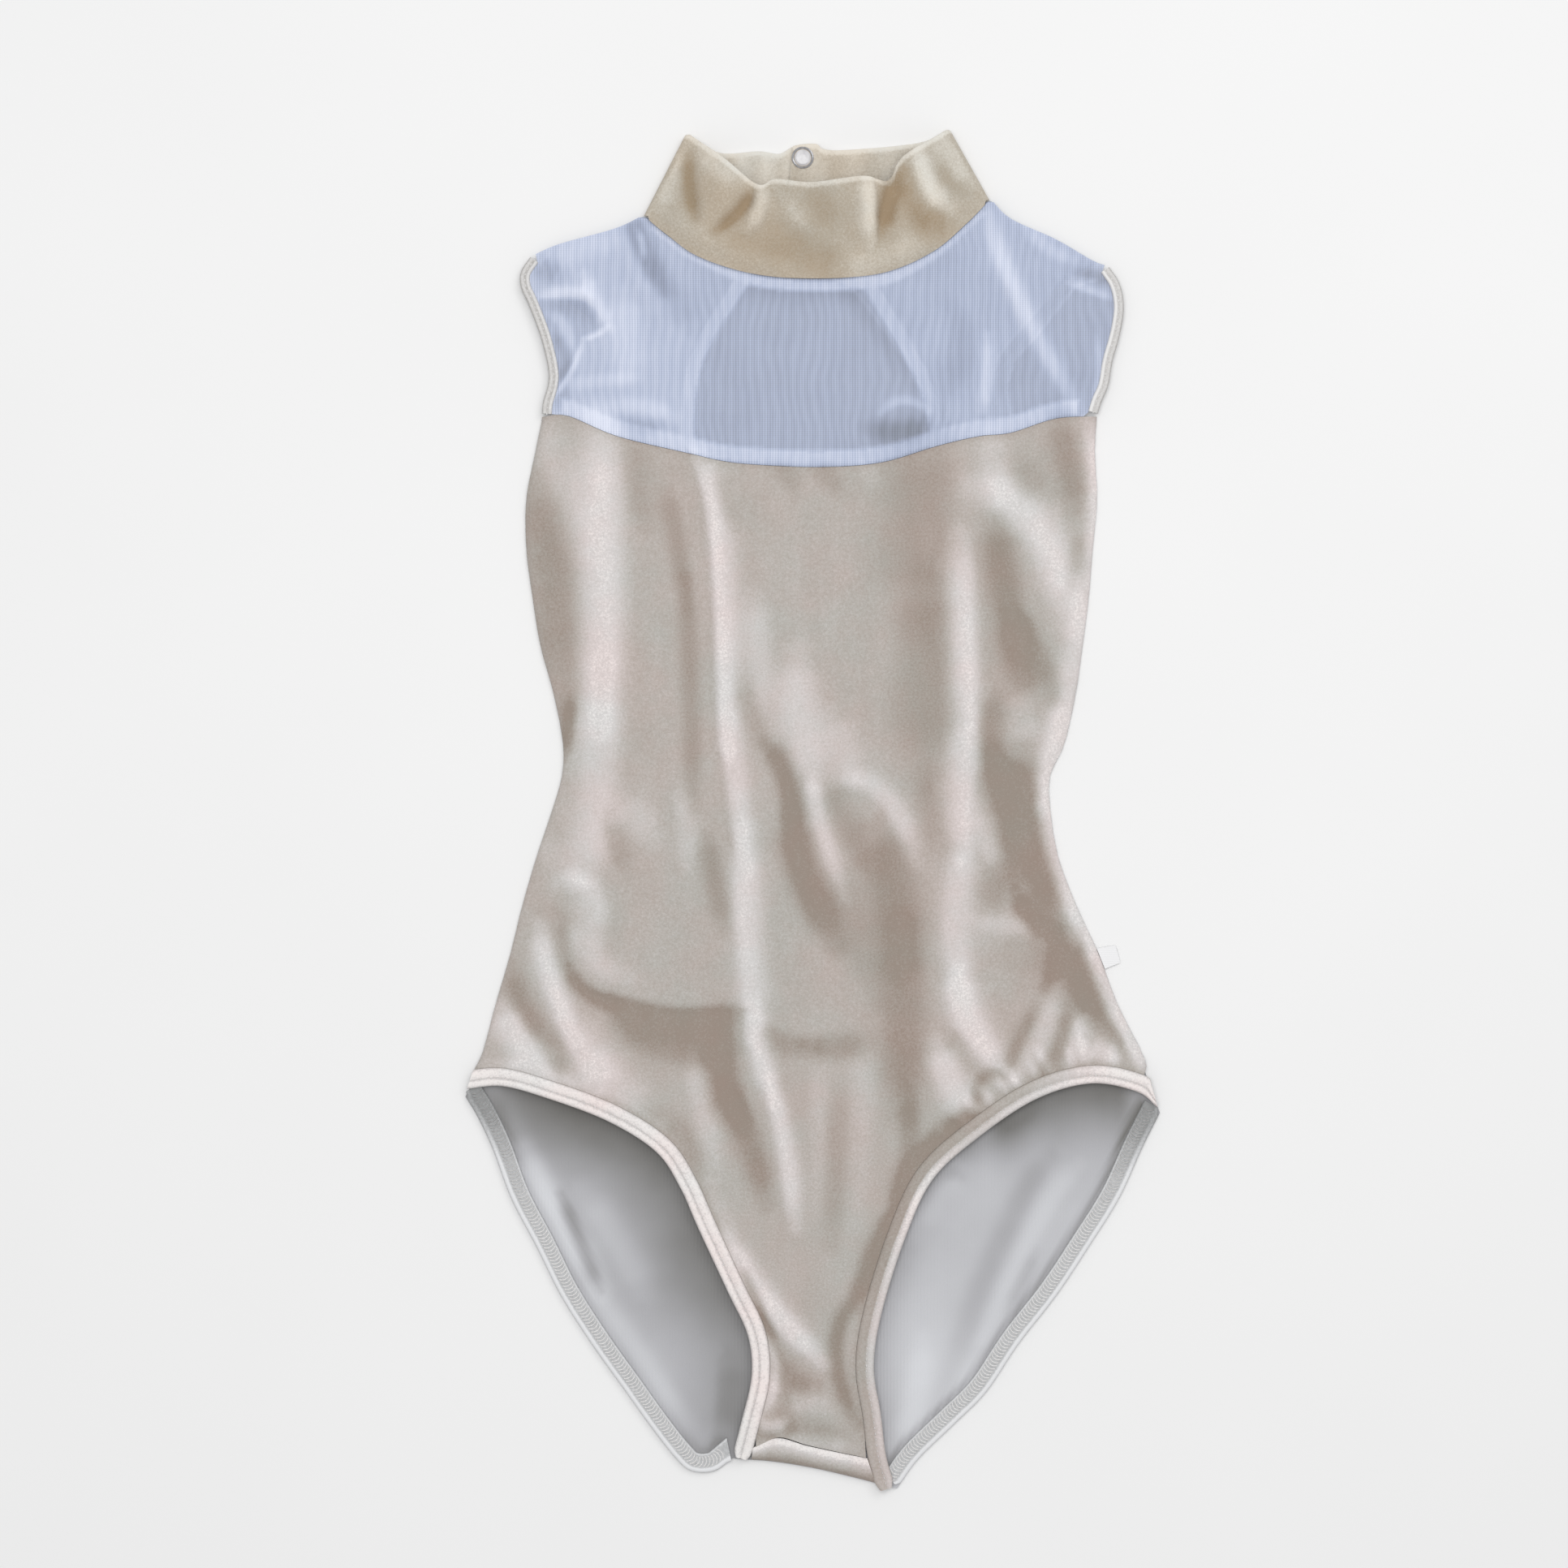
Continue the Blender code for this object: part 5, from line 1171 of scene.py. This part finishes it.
def back_body(velvet_material, knit):
    left = offset(LEFT_SIDE, BACK_INSET)
    right = offset(RIGHT_SIDE, -BACK_INSET)
    outline = np.concatenate([
        spline(BACK_TOP)[2:-2][::-1], left[(left[:, 1] < 164) & (left[:, 1] > -122)], spline(LEFT_BACK_LEG),
        spline(CROTCH_EDGE)[1:-1], spline(RIGHT_BACK_LEG)[::-1],
        right[(right[:, 1] < 158) & (right[:, 1] > -124)][::-1],
    ])
    flat, faces = fill(outline, BACK_STEP)
    x, y = flat[:, 0], flat[:, 1]
    rise, nap = creases_at(BACK_FOLD_LINES, x, y)
    edge = distance_to(np.vstack([outline, outline[:1]]), x, y)
    top = VELVET + np.maximum(rise, -0.3) * smooth((edge - 8) / 14)
    leftward = x < 0
    # Painted shadow on the back's reverse under the front's leg bands and along the top of each opening, less towards
    # the hip corners; painted shade in the nook beside each casing with a painted highlight a little further in on the
    # left; painted light low down.
    near_left = np.exp(-(distance_to(spline(LEFT_LEG, COARSE), x, y) / 27) ** 2)
    near_right = np.exp(-(distance_to(spline(RIGHT_LEG, COARSE)[:9], x, y) / 20) ** 2)
    near_right *= 1 - 0.75 * np.exp(-((x - 84) / 9) ** 2)
    under = np.where(leftward, 0.40 * near_left * (1 - 0.2 * smooth((-215 - y) / 60)), 0.46 * near_right)
    top_shade = np.where(leftward, 0.13 * smooth((y + 205) / 45), 0.10 * smooth((y + 185) / 35) + 0.10 * smooth((x - 108) / 16) * smooth((y + 205) / 50))
    ends = 0.5 * smooth((np.abs(x) - 150) / 12)
    casing_foot = np.minimum(*(distance_to(offset(spline(edge), sign * (LEG_CASING + 1)), x, y)
                               for edge, sign in ((LEFT_BACK_LEG, 1), (RIGHT_BACK_LEG, -1))))
    low_glow = np.where(leftward, 0.08, 0.14) * smooth((-225 - y) / 60)
    tone_with_painted_light = np.where(leftward, 0.56, 0.67) + nap + low_glow - (under + top_shade) * (1 - ends)
    tone_with_painted_light -= np.where(leftward, 0.10, 0.36) * np.exp(-(casing_foot / 2) ** 2)
    tone_with_painted_light += np.where(leftward, 0.08, 0) * np.exp(-((casing_foot - 6) / 5) ** 2)
    tone_with_painted_light -= np.where(leftward, 0.07, 0) * smooth((x + 108) / 16) * smooth((-175 - y) / 30)
    tone_with_painted_light -= 0.22 * np.exp(-(distance_to(spline(RIGHT_LEG, COARSE)[7:], x, y) / 11) ** 2)
    tone_with_painted_light = np.clip(tone_with_painted_light, 0.03, 1)
    piece = wall("back_body_velvet", flat, faces, np.zeros(len(flat)), top, knit, tone_with_painted_light)
    piece.data.materials.append(velvet_material)
    for face in piece.data.polygons:
        if face.normal.z < -0.5:
            face.material_index = 1
    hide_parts("back_body")
    return piece


def arm_lines(spots, inward):
    """A front armhole's outer edge, the binding's inner edge, and the net's edge."""
    outer = share_of(spline(spots), 0.01, 0.985)
    return outer, offset(outer, inward * ARM_BINDING), offset(outer, inward * (ARM_BINDING - 0.6))


def part_of(flat, faces, region):
    """The triangles inside a region, with their own points."""
    middles = flat[np.array([face[:3] for face in faces])].mean(axis=1)
    chosen = [face for face, here in zip(faces, inside(region, middles[:, 0], middles[:, 1])) if here]
    used = sorted({i for face in chosen for i in face})
    new = {old: i for i, old in enumerate(used)}
    return np.array(used), [tuple(new[i] for i in face) for face in chosen]


def net_tone(x, y, strips):
    """How pale the front net looks: palest over seam allowances, then over the back yokes
    and the keyhole's hems, and least where nothing lies behind it, which is partly its single
    layer and partly painted shade for the dark seen through it; darker still towards the
    keyhole's top as painted shadow under the collar, and paler towards the left."""
    left = spline(LEFT_KEYHOLE)
    right = spline(RIGHT_KEYHOLE)
    keyhole = np.concatenate([left, right[::-1]])
    hems = [np.concatenate([edge, offset(edge, sign * (KEYHOLE_HEM + 1.5))[::-1]])
            for edge, sign in ((left, -1), (right, 1))]
    band = spline(RIGHT_BAND)
    bands = [np.concatenate([offset(band, 3.4), offset(band, -3.4)[::-1]])]
    tone = np.full(np.shape(x), DOUBLE_TONE)
    singles = [np.array(region, float) for region in (LEFT_SINGLE, RIGHT_SINGLE)]
    for regions, value in ((singles, SINGLE_TONE), (bands, 0.5 * (SINGLE_TONE + DOUBLE_TONE)), (hems, HEM_TONE),
                           ([keyhole], SINGLE_TONE - 0.06 * smooth((y - 244) / 12)), (strips, STRIP_TONE)):
        for region in regions:
            away = distance_to(np.vstack([region, region[:1]]), x, y)
            signed = np.where(inside(region, x, y), away, -away)
            share = smooth(0.5 + signed / TONE_EDGE)
            tone = tone * (1 - share) + value * share
    return tone + LEFT_GLOW * smooth((-50 - x) / 20)


def front_yoke(net, dense_net):
    neck = offset(spline(FRONT_NECK), -NECK_GAP + 0.4)
    left_arm = arm_lines(LEFT_ARM, 1)[2]
    right_arm = arm_lines(RIGHT_ARM, -1)[2]
    seam = spline(YOKE_SEAM) + np.array([0, 0.1])
    seam = seam[(seam[:, 0] > left_arm[-1, 0] + 1) & (seam[:, 0] < right_arm[-1, 0] - 1)]
    shoulder_left = spline(LEFT_SHOULDER)[1:-1] + np.array([0, -0.2])
    shoulder_right = spline(RIGHT_SHOULDER)[1:-1] + np.array([0, -0.2])
    outline = np.concatenate([
        neck[1:-1][::-1], shoulder_left, left_arm, seam, right_arm[::-1], shoulder_right[::-1],
    ])
    hem = share_of(seam, 0.01, 0.99)
    hem_ring = np.concatenate([hem + np.array([0, 0.5]), (hem + np.array([0, YOKE_ALLOWANCE]))[::-1]])
    foot = share_of(neck, 0.04, 0.96)
    narrow = 0.45 + 0.55 * smooth(np.minimum(foot[:, 0] + 60, 72 - foot[:, 0])[:, None] / 40)
    neck_ring = np.concatenate([offset(foot, -0.5), (foot - normals(foot) * NECK_ALLOWANCE * narrow)[::-1]])
    rings = [np.vstack([ring, ring[:1]]) for ring in (hem_ring, neck_ring)]
    for edge in (spline(LEFT_KEYHOLE), spline(RIGHT_KEYHOLE)):
        rings.append(edge[(edge[:, 1] > 180) & (edge[:, 1] < 256)])
    flat, faces = fill(outline, NET_STEP, rings)
    x, y = flat[:, 0], flat[:, 1]
    low, nap = front_shape(x, y)
    dip = seam_dip(x, y, [seam, neck])
    height = low + VELVET - 0.4 - dip
    tone = net_tone(x, y, (hem_ring, neck_ring))
    # the net also takes the painted highlight and shade of the front's folds
    tone_with_painted_light = np.clip(tone + nap, 0, 1)
    piece = skin("front_yoke_net", flat, faces, height, net, tone_with_painted_light)
    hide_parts("front_yoke")
    for name, ring in (("yoke_seam_allowance", hem_ring), ("neck_seam_allowance", neck_ring)):
        used, some = part_of(flat, faces, ring)
        layer = skin(name + "_net", flat[used], some, height[used] - 0.45, dense_net, tone_with_painted_light[used] + 0.15)
        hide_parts(name)
    return piece


def back_yokes(net, dense_net, elastic):
    neck = spline(BACK_NECK)
    top = spline(BACK_TOP)
    sides = (
        ("left", LEFT_SHOULDER, LEFT_BACK_ARM, LEFT_KEYHOLE, -1),
        ("right", RIGHT_SHOULDER, RIGHT_BACK_ARM, RIGHT_KEYHOLE, 1),
    )
    for name, shoulder, arm, keyhole, sign in sides:
        shoulder = spline(shoulder)[1:-3]
        arm = spline(arm)
        keyhole = spline(keyhole)
        net_arm = offset(arm, -sign * (ARM_BINDING - 0.6))
        net_arm = net_arm[(net_arm[:, 1] < 262) & (net_arm[:, 1] > 174)]
        low, high = sorted((net_arm[-1, 0], keyhole[-1, 0]))
        base = top[(top[:, 0] > low + 2) & (top[:, 0] < high - 2)] + np.array([0, SEAM_GAP])
        low, high = sorted((keyhole[0, 0], shoulder[0, 0]))
        neck_part = neck[(neck[:, 0] > low + 1) & (neck[:, 0] < high + 1)] - np.array([0, NECK_GAP])
        if sign < 0:
            neck_part = neck_part[::-1]
        else:
            base = base[::-1]
        foot = Spot(keyhole[-1, 0], float(np.interp(keyhole[-1, 0], top[:, 0], top[:, 1])) + SEAM_GAP)
        edge = keyhole[(keyhole[:, 1] > foot.y + 2) & (keyhole[:, 1] < 277)]
        outline = np.concatenate([neck_part, shoulder, net_arm, base, [foot], edge[::-1]])
        flat, faces = fill(outline, NET_STEP)
        x, y = flat[:, 0], flat[:, 1]
        # the net's ripples are painted paler where they rise and darker where they sink, as painted light and shade
        wave = 0.18 * np.sin(x * 0.16 + y * 0.05) + 0.12 * np.sin(y * 0.21 - x * 0.07)
        piece = skin(f"back_yoke_net_{name}", flat, faces, 0.6 + wave, net, np.clip(0.45 + 0.3 * wave, 0, 1))
        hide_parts(f"back_yoke_{name}")
        hem_edge = share_of(edge, 0.005, 0.995)
        inner = offset(hem_edge, sign * KEYHOLE_HEM)
        hem = strip(f"keyhole_hem_net_{name}", hem_edge, inner, at_height(1.05), 0.7, FLAT_TURN, dense_net)
        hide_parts(f"keyhole_hem_{name}")
        binding = share_of(arm, 0.04, 0.99)
        tape = strip(f"back_arm_tape_{name}", binding, offset(binding, -sign * ARM_BINDING), at_height(0.15), 1.4,
                     BINDING_ROLL, elastic)
        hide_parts(f"back_arm_binding_{name}")


def arm_bindings(elastic, stitches, cotton):
    paths = []
    for name, arm, sign in (("left", LEFT_ARM, 1), ("right", RIGHT_ARM, -1)):
        outer, inner = arm_lines(arm, sign)[:2]
        tape = strip(f"front_arm_tape_{name}", outer, inner, on_front, 2.1, BINDING_ROLL, elastic,
                     shade=0.72 if sign > 0 else 0.95, seed=2.0)
        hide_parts(f"front_arm_binding_{name}")
        line = outer + (inner - outer) * 0.5
        paths.append(lifted(line, on_front(line) + 1.72))
    stitch_row("arm_binding_stitches", stitches, paths, cotton, TOP_SPACING, TOP_LENGTH, 0.3)


def leg_bands(velvet_material, stitches, cotton):
    paths = []
    for name, spots, side, inward in (("left", LEFT_LEG, LEFT_SIDE, 1), ("right", RIGHT_LEG, RIGHT_SIDE, -1)):
        outer, inner = leg_lines(spots, side, inward)[:2]
        along = np.linspace(0, 1, len(outer))
        shade = roll_shade = 1.0
        if inward < 0:
            shade = np.interp(along, [0.1, 0.25, 0.45, 0.6, 0.8, 1], [1, 0.42, 0.22, 0.22, 0.32, 0.5])
            roll_shade = np.interp(along, [0, 0.15, 0.36, 0.5, 0.7, 1], [1, 0.95, 0.72, 0.98, 0.76, 0.74])
        middle = (outer + inner) / 2
        end = (1 - 0.35 * smooth((along - 0.985) / 0.015))[:, None]
        outer, inner = middle + (outer - middle) * end, middle + (inner - middle) * end
        band = strip(f"front_leg_velvet_{name}", outer, inner, on_front, 2.3, EDGE_ROLL, velvet_material,
                     shade=shade, roll_shade=roll_shade, swell=0.07, seed=3.0 + inward)
        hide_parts(f"front_leg_band_{name}")
        line = share_of(outer + (inner - outer) * 0.43, 0.01, 0.99)
        paths.append(lifted(line, on_front(line) + 1.74))
    stitch_row("leg_band_stitches", stitches, paths, cotton, TOP_SPACING, TOP_LENGTH, 0.2)


def leg_casings(elastic, bows, cotton):
    """The back's leg elastic, turned in and covered with a row of bowed stitches."""
    on_back = at_height(VELVET + SEAM_GAP)
    rows = []
    for name, edge, sign in (("left", LEFT_BACK_LEG, 1), ("right", RIGHT_BACK_LEG, -1)):
        outer = offset(share_of(spline(edge), 0.008, 0.985), sign * 0.1)
        inner = offset(outer, sign * LEG_CASING)
        corner = np.array([-170.1, -139.4] if sign > 0 else [170.2, -147.4])
        outer = np.vstack([corner, outer, outer[-1] + sign * np.array([2.4, 0.9])])
        inner = np.vstack([inner[0] + CASING_TUCK * unit(inner[0] - inner[1]), inner,
                           inner[-1] + (8.0 if sign > 0 else 1.0) * unit(inner[-1] - inner[-2])])
        along = np.linspace(0, 1, len(outer))
        casing = strip(f"back_leg_casing_tape_{name}", outer, inner, on_back, 1.2, CASING_ROLL, elastic,
                       shade=0.22 + 0.78 * smooth(along / 0.2), shade_from=0.0, swell=0.08, seed=5.0)
        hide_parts(f"back_leg_casing_{name}")
        line = (outer + (inner - outer) * 0.61)[:-2]
        rows.append(lifted(line, np.full(len(line), VELVET + SEAM_GAP + 1.2 - BOW_SUNK)))
    stitch_row("casing_cover_stitches", bows, rows, cotton, BOW_SPACING, 1 / MM, 1 / MM, 90)


def crotch_roll(velvet_material):
    outer = share_of(spline(CROTCH_EDGE), 0.095, 0.90, 30) + np.array([0, 0.4])
    inner = share_of(spline(CROTCH_LINE), 0.0, 1.0, 30) - np.array([0, 0.4])
    inner[:, 0] += np.linspace(-1.5, 0.7, 30)
    bottom = VELVET + SEAM_GAP
    top = on_front(inner) + VELVET
    # painted shade on the roll's low outer side rising to a painted highlight on its crown; its underside is painted at
    # a middle value
    crowns = [
        Ledge(0, 0.25, 0.05), Ledge(0.1, 0.55, 0.12), Ledge(0.25, 0.8, 0.32), Ledge(0.42, 0.94, 0.52),
        Ledge(0.6, 1.0, 0.72), Ledge(0.76, 1.04, 0.95), Ledge(0.9, 1.04, 1.0), Ledge(1, 0.96, 0.9),
    ]
    columns = []
    painted_light_and_tone_rows = []
    for ledge in crowns:
        line = outer + (inner - outer) * ledge.share
        columns.append(np.column_stack([line, bottom + (top - bottom) * ledge.crown]))
        painted_light_and_tone_rows.append(np.full(len(outer), ledge.nap))
    for ledge in reversed(crowns):
        line = outer + (inner - outer) * ledge.share
        columns.append(np.column_stack([line, np.full(len(outer), bottom)]))
        painted_light_and_tone_rows.append(np.full(len(outer), 0.4))
    piece = tube("crotch_fold_velvet", np.array(columns), velvet_material, np.concatenate(painted_light_and_tone_rows))
    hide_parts("crotch_fold")


def collar(velvet_material):
    """One band round the neck, flattened, with its ends lapped at the centre back."""
    rows = np.concatenate([np.linspace(0, 0.94, 20), [0.97, 0.99]])
    lines = {
        "back_low": spline(BACK_NECK, 1.0), "back_top": spline(BACK_COLLAR_TOP, 1.0),
        "front_low": spline(FRONT_NECK, 1.0), "front_top": spline(FRONT_COLLAR_TOP, 1.0),
    }

    def between(low, top, shares):
        columns = []
        for share in shares:
            ends = []
            for line in (lines[low], lines[top]):
                x = line[0, 0] + (line[-1, 0] - line[0, 0]) * share
                ends.append(np.array([x, np.interp(x, line[:, 0], line[:, 1])]))
            columns.append([(1 - row) * ends[0] + row * ends[1] for row in rows])
        return np.array(columns)

    half = COLLAR_WALL / 2
    narrow = (COLLAR_FOLD_RADIUS + half) / 150.0

    def layer(low, top, shares, height, tone_with_painted_light):
        flat = between(low, top, shares)
        x, y = flat[..., 0].ravel(), flat[..., 1].ravel()
        z, nap = height(x, y, np.repeat(shares, len(rows)))
        lies.append((tone_with_painted_light + nap).reshape(flat.shape[:2]))
        return np.concatenate([flat, z.reshape(flat.shape[:2])[..., None]], axis=2)

    lies = []

    def left_back(x, y, share):
        wave = 0.25 * np.sin(x * 0.5) * smooth((y - 300) / 20)
        return half + 0 * x, wave * 0.4

    def right_back(x, y, share):
        lift = (COLLAR_WALL + SEAM_GAP) * smooth((0.58 - share) / 0.06)
        return half + lift, 0.16 + 0.05 * np.sin(x * 0.35 + 1)

    def front(x, y, share):
        z, nap = front_shape(x, y)
        return z + half, nap

    middle = [layer("back_low", "back_top", np.linspace(LEFT_END_SHARE, narrow, 50), left_back, 0.76)]

    def fold(share, sign):
        flat = between("back_low", "back_top", [share])[0]
        columns = []
        for turn in np.linspace(-72, 72, 9):
            angle = math.radians(turn)
            x = flat[:, 0] + sign * COLLAR_FOLD_RADIUS * math.cos(angle)
            z = half + COLLAR_FOLD_RADIUS * (1 + math.sin(angle))
            columns.append(np.column_stack([x, flat[:, 1], np.full(len(flat), z)]))
        columns = np.array(columns)
        lies.append(np.full(columns.shape[:2], 0.5))
        return columns if sign < 0 else columns[::-1]

    middle.append(fold(narrow, -1))
    middle.append(layer("front_low", "front_top", np.linspace(narrow, 1 - narrow, 150), front, 0.44))
    middle.append(fold(1 - narrow, 1))
    middle.append(layer("back_low", "back_top", np.linspace(1 - narrow, RIGHT_END_SHARE, 66), right_back, 0.46))
    middle = np.concatenate(middle)
    tone_with_painted_light = np.clip(np.concatenate(lies), 0, 1)
    facing = np.cross(np.gradient(middle, axis=0), np.gradient(middle, axis=1))
    facing /= np.linalg.norm(facing, axis=2)[:, :, None]
    rim = np.gradient(middle, axis=1)
    rim /= np.linalg.norm(rim, axis=2)[:, :, None]
    sheets = [middle + facing * half]
    for turn in (50, 20, -20, -50):
        angle = math.radians(turn)
        last = middle[:, -1:] + facing[:, -1:] * half * math.sin(angle) + rim[:, -1:] * half * math.cos(angle)
        sheets.append(last)
    sheets.append((middle - facing * half)[:, ::-1])
    section = np.concatenate(sheets, axis=1)
    # painted highlight along the collar's rolled top edge
    rim_tone_with_painted_light = np.clip(tone_with_painted_light + 0.38 * smooth((rows - 0.93) / 0.05), 0, 1)
    section_tone_with_painted_light = np.concatenate([rim_tone_with_painted_light] + [rim_tone_with_painted_light[:, -1:]] * 4 + [rim_tone_with_painted_light[:, ::-1]], axis=1)
    long_way, short_way = section.shape[:2]
    faces = []
    for i in range(long_way - 1):
        for j in range(short_way):
            a, b = i * short_way + j, (i + 1) * short_way + j
            c, d = (i + 1) * short_way + (j + 1) % short_way, i * short_way + (j + 1) % short_way
            faces.append((a, b, c, d))
    for i in (0, long_way - 1):
        ring = [i * short_way + j for j in range(short_way)]
        faces += [(ring[j], ring[j + 1], ring[short_way - 2 - j], ring[short_way - 1 - j])
                  for j in range(short_way // 2 - 1)]
    piece = finish_piece("collar_velvet", section.reshape(-1, 3), faces, velvet_material, section_tone_with_painted_light.ravel())
    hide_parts("collar")
    return piece


def dress_hardware():
    for name, material in (("snap_ring", snap_metal()), ("snap_cap", snap_pearl()), ("side_label", label_weave())):
        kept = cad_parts[name]
        kept.data.materials.clear()
        kept.data.materials.append(material)


def area_light(name, place, target, size, power, colour=(1, 1, 1)):
    lamp = bpy.data.lights.new(name, "AREA")
    lamp.shape = "DISK"
    lamp.size = size
    lamp.energy = power
    lamp.color = colour
    made = bpy.data.objects.new(name, lamp)
    made.location = place
    made.rotation_euler = (Vector(target) - Vector(place)).to_track_quat("-Z", "Y").to_euler()
    bpy.context.scene.collection.objects.link(made)


def studio():
    """A pale floor, soft light and a camera straight above."""
    work = bmesh.new()
    bmesh.ops.create_grid(work, x_segments=8, y_segments=8, size=3.0)
    for vertex in work.verts:
        vertex.co.z = -0.0004
    mesh = bpy.data.meshes.new("floor")
    work.to_mesh(mesh)
    work.free()
    mesh.materials.append(floor_paint())
    floor = bpy.data.objects.new("floor", mesh)
    bpy.context.scene.collection.objects.link(floor)
    world = bpy.data.worlds.new("studio")
    world.use_nodes = True
    world.node_tree.nodes["Background"].inputs["Color"].default_value = (1.0, 1.0, 1.0, 1)
    world.node_tree.nodes["Background"].inputs["Strength"].default_value = 0.52
    bpy.context.scene.world = world
    bpy.context.scene.view_settings.view_transform = "Standard"
    area_light("key", (1.0, 1.1, 1.7), (0, 0, 0), 1.2, 8)
    area_light("top", (-0.2, 0.3, 2.4), (0, 0, 0), 1.8, 26)
    lens = bpy.data.cameras.new("camera")
    lens.lens = 85
    lens.sensor_width = 36
    camera = bpy.data.objects.new("camera", lens)
    frame_width = PHOTO_SIDE * MM_PER_PIXEL * MM
    camera.location = (*point(PHOTO_MIDDLE_X, PHOTO_MIDDLE_Y, 0)[:2], frame_width * lens.lens / lens.sensor_width)
    bpy.context.scene.collection.objects.link(camera)
    bpy.context.scene.camera = camera


def build():
    champagne = body_velvet()
    cream = collar_velvet()
    knit = reverse_knit()
    net = power_net("power_net", 0.84, 0.0)
    back_net = power_net("back_power_net", 0.70, 2.5)
    dense_net = power_net("doubled_net", 0.88, 0.8)
    elastic = elastic_knit("binding_elastic", (0.32, 0.305, 0.285), (0.80, 0.79, 0.785), 900)
    casing = elastic_knit("casing_elastic", (0.28, 0.285, 0.285), (0.78, 0.785, 0.80), 1000)
    cotton = thread("white_thread")
    shaded_cotton = thread("casing_thread", 0.42)
    stitches = stitch_tree("stitch_row", thread_bead)
    bows = stitch_tree("bowed_stitch_row", thread_bow)
    front_body(champagne)
    back_body(champagne, knit)
    front_yoke(net, dense_net)
    back_yokes(back_net, dense_net, elastic)
    arm_bindings(elastic, stitches, cotton)
    leg_bands(champagne, stitches, cotton)
    leg_casings(casing, bows, shaded_cotton)
    crotch_roll(champagne)
    collar(cream)
    dress_hardware()
    studio()


build()
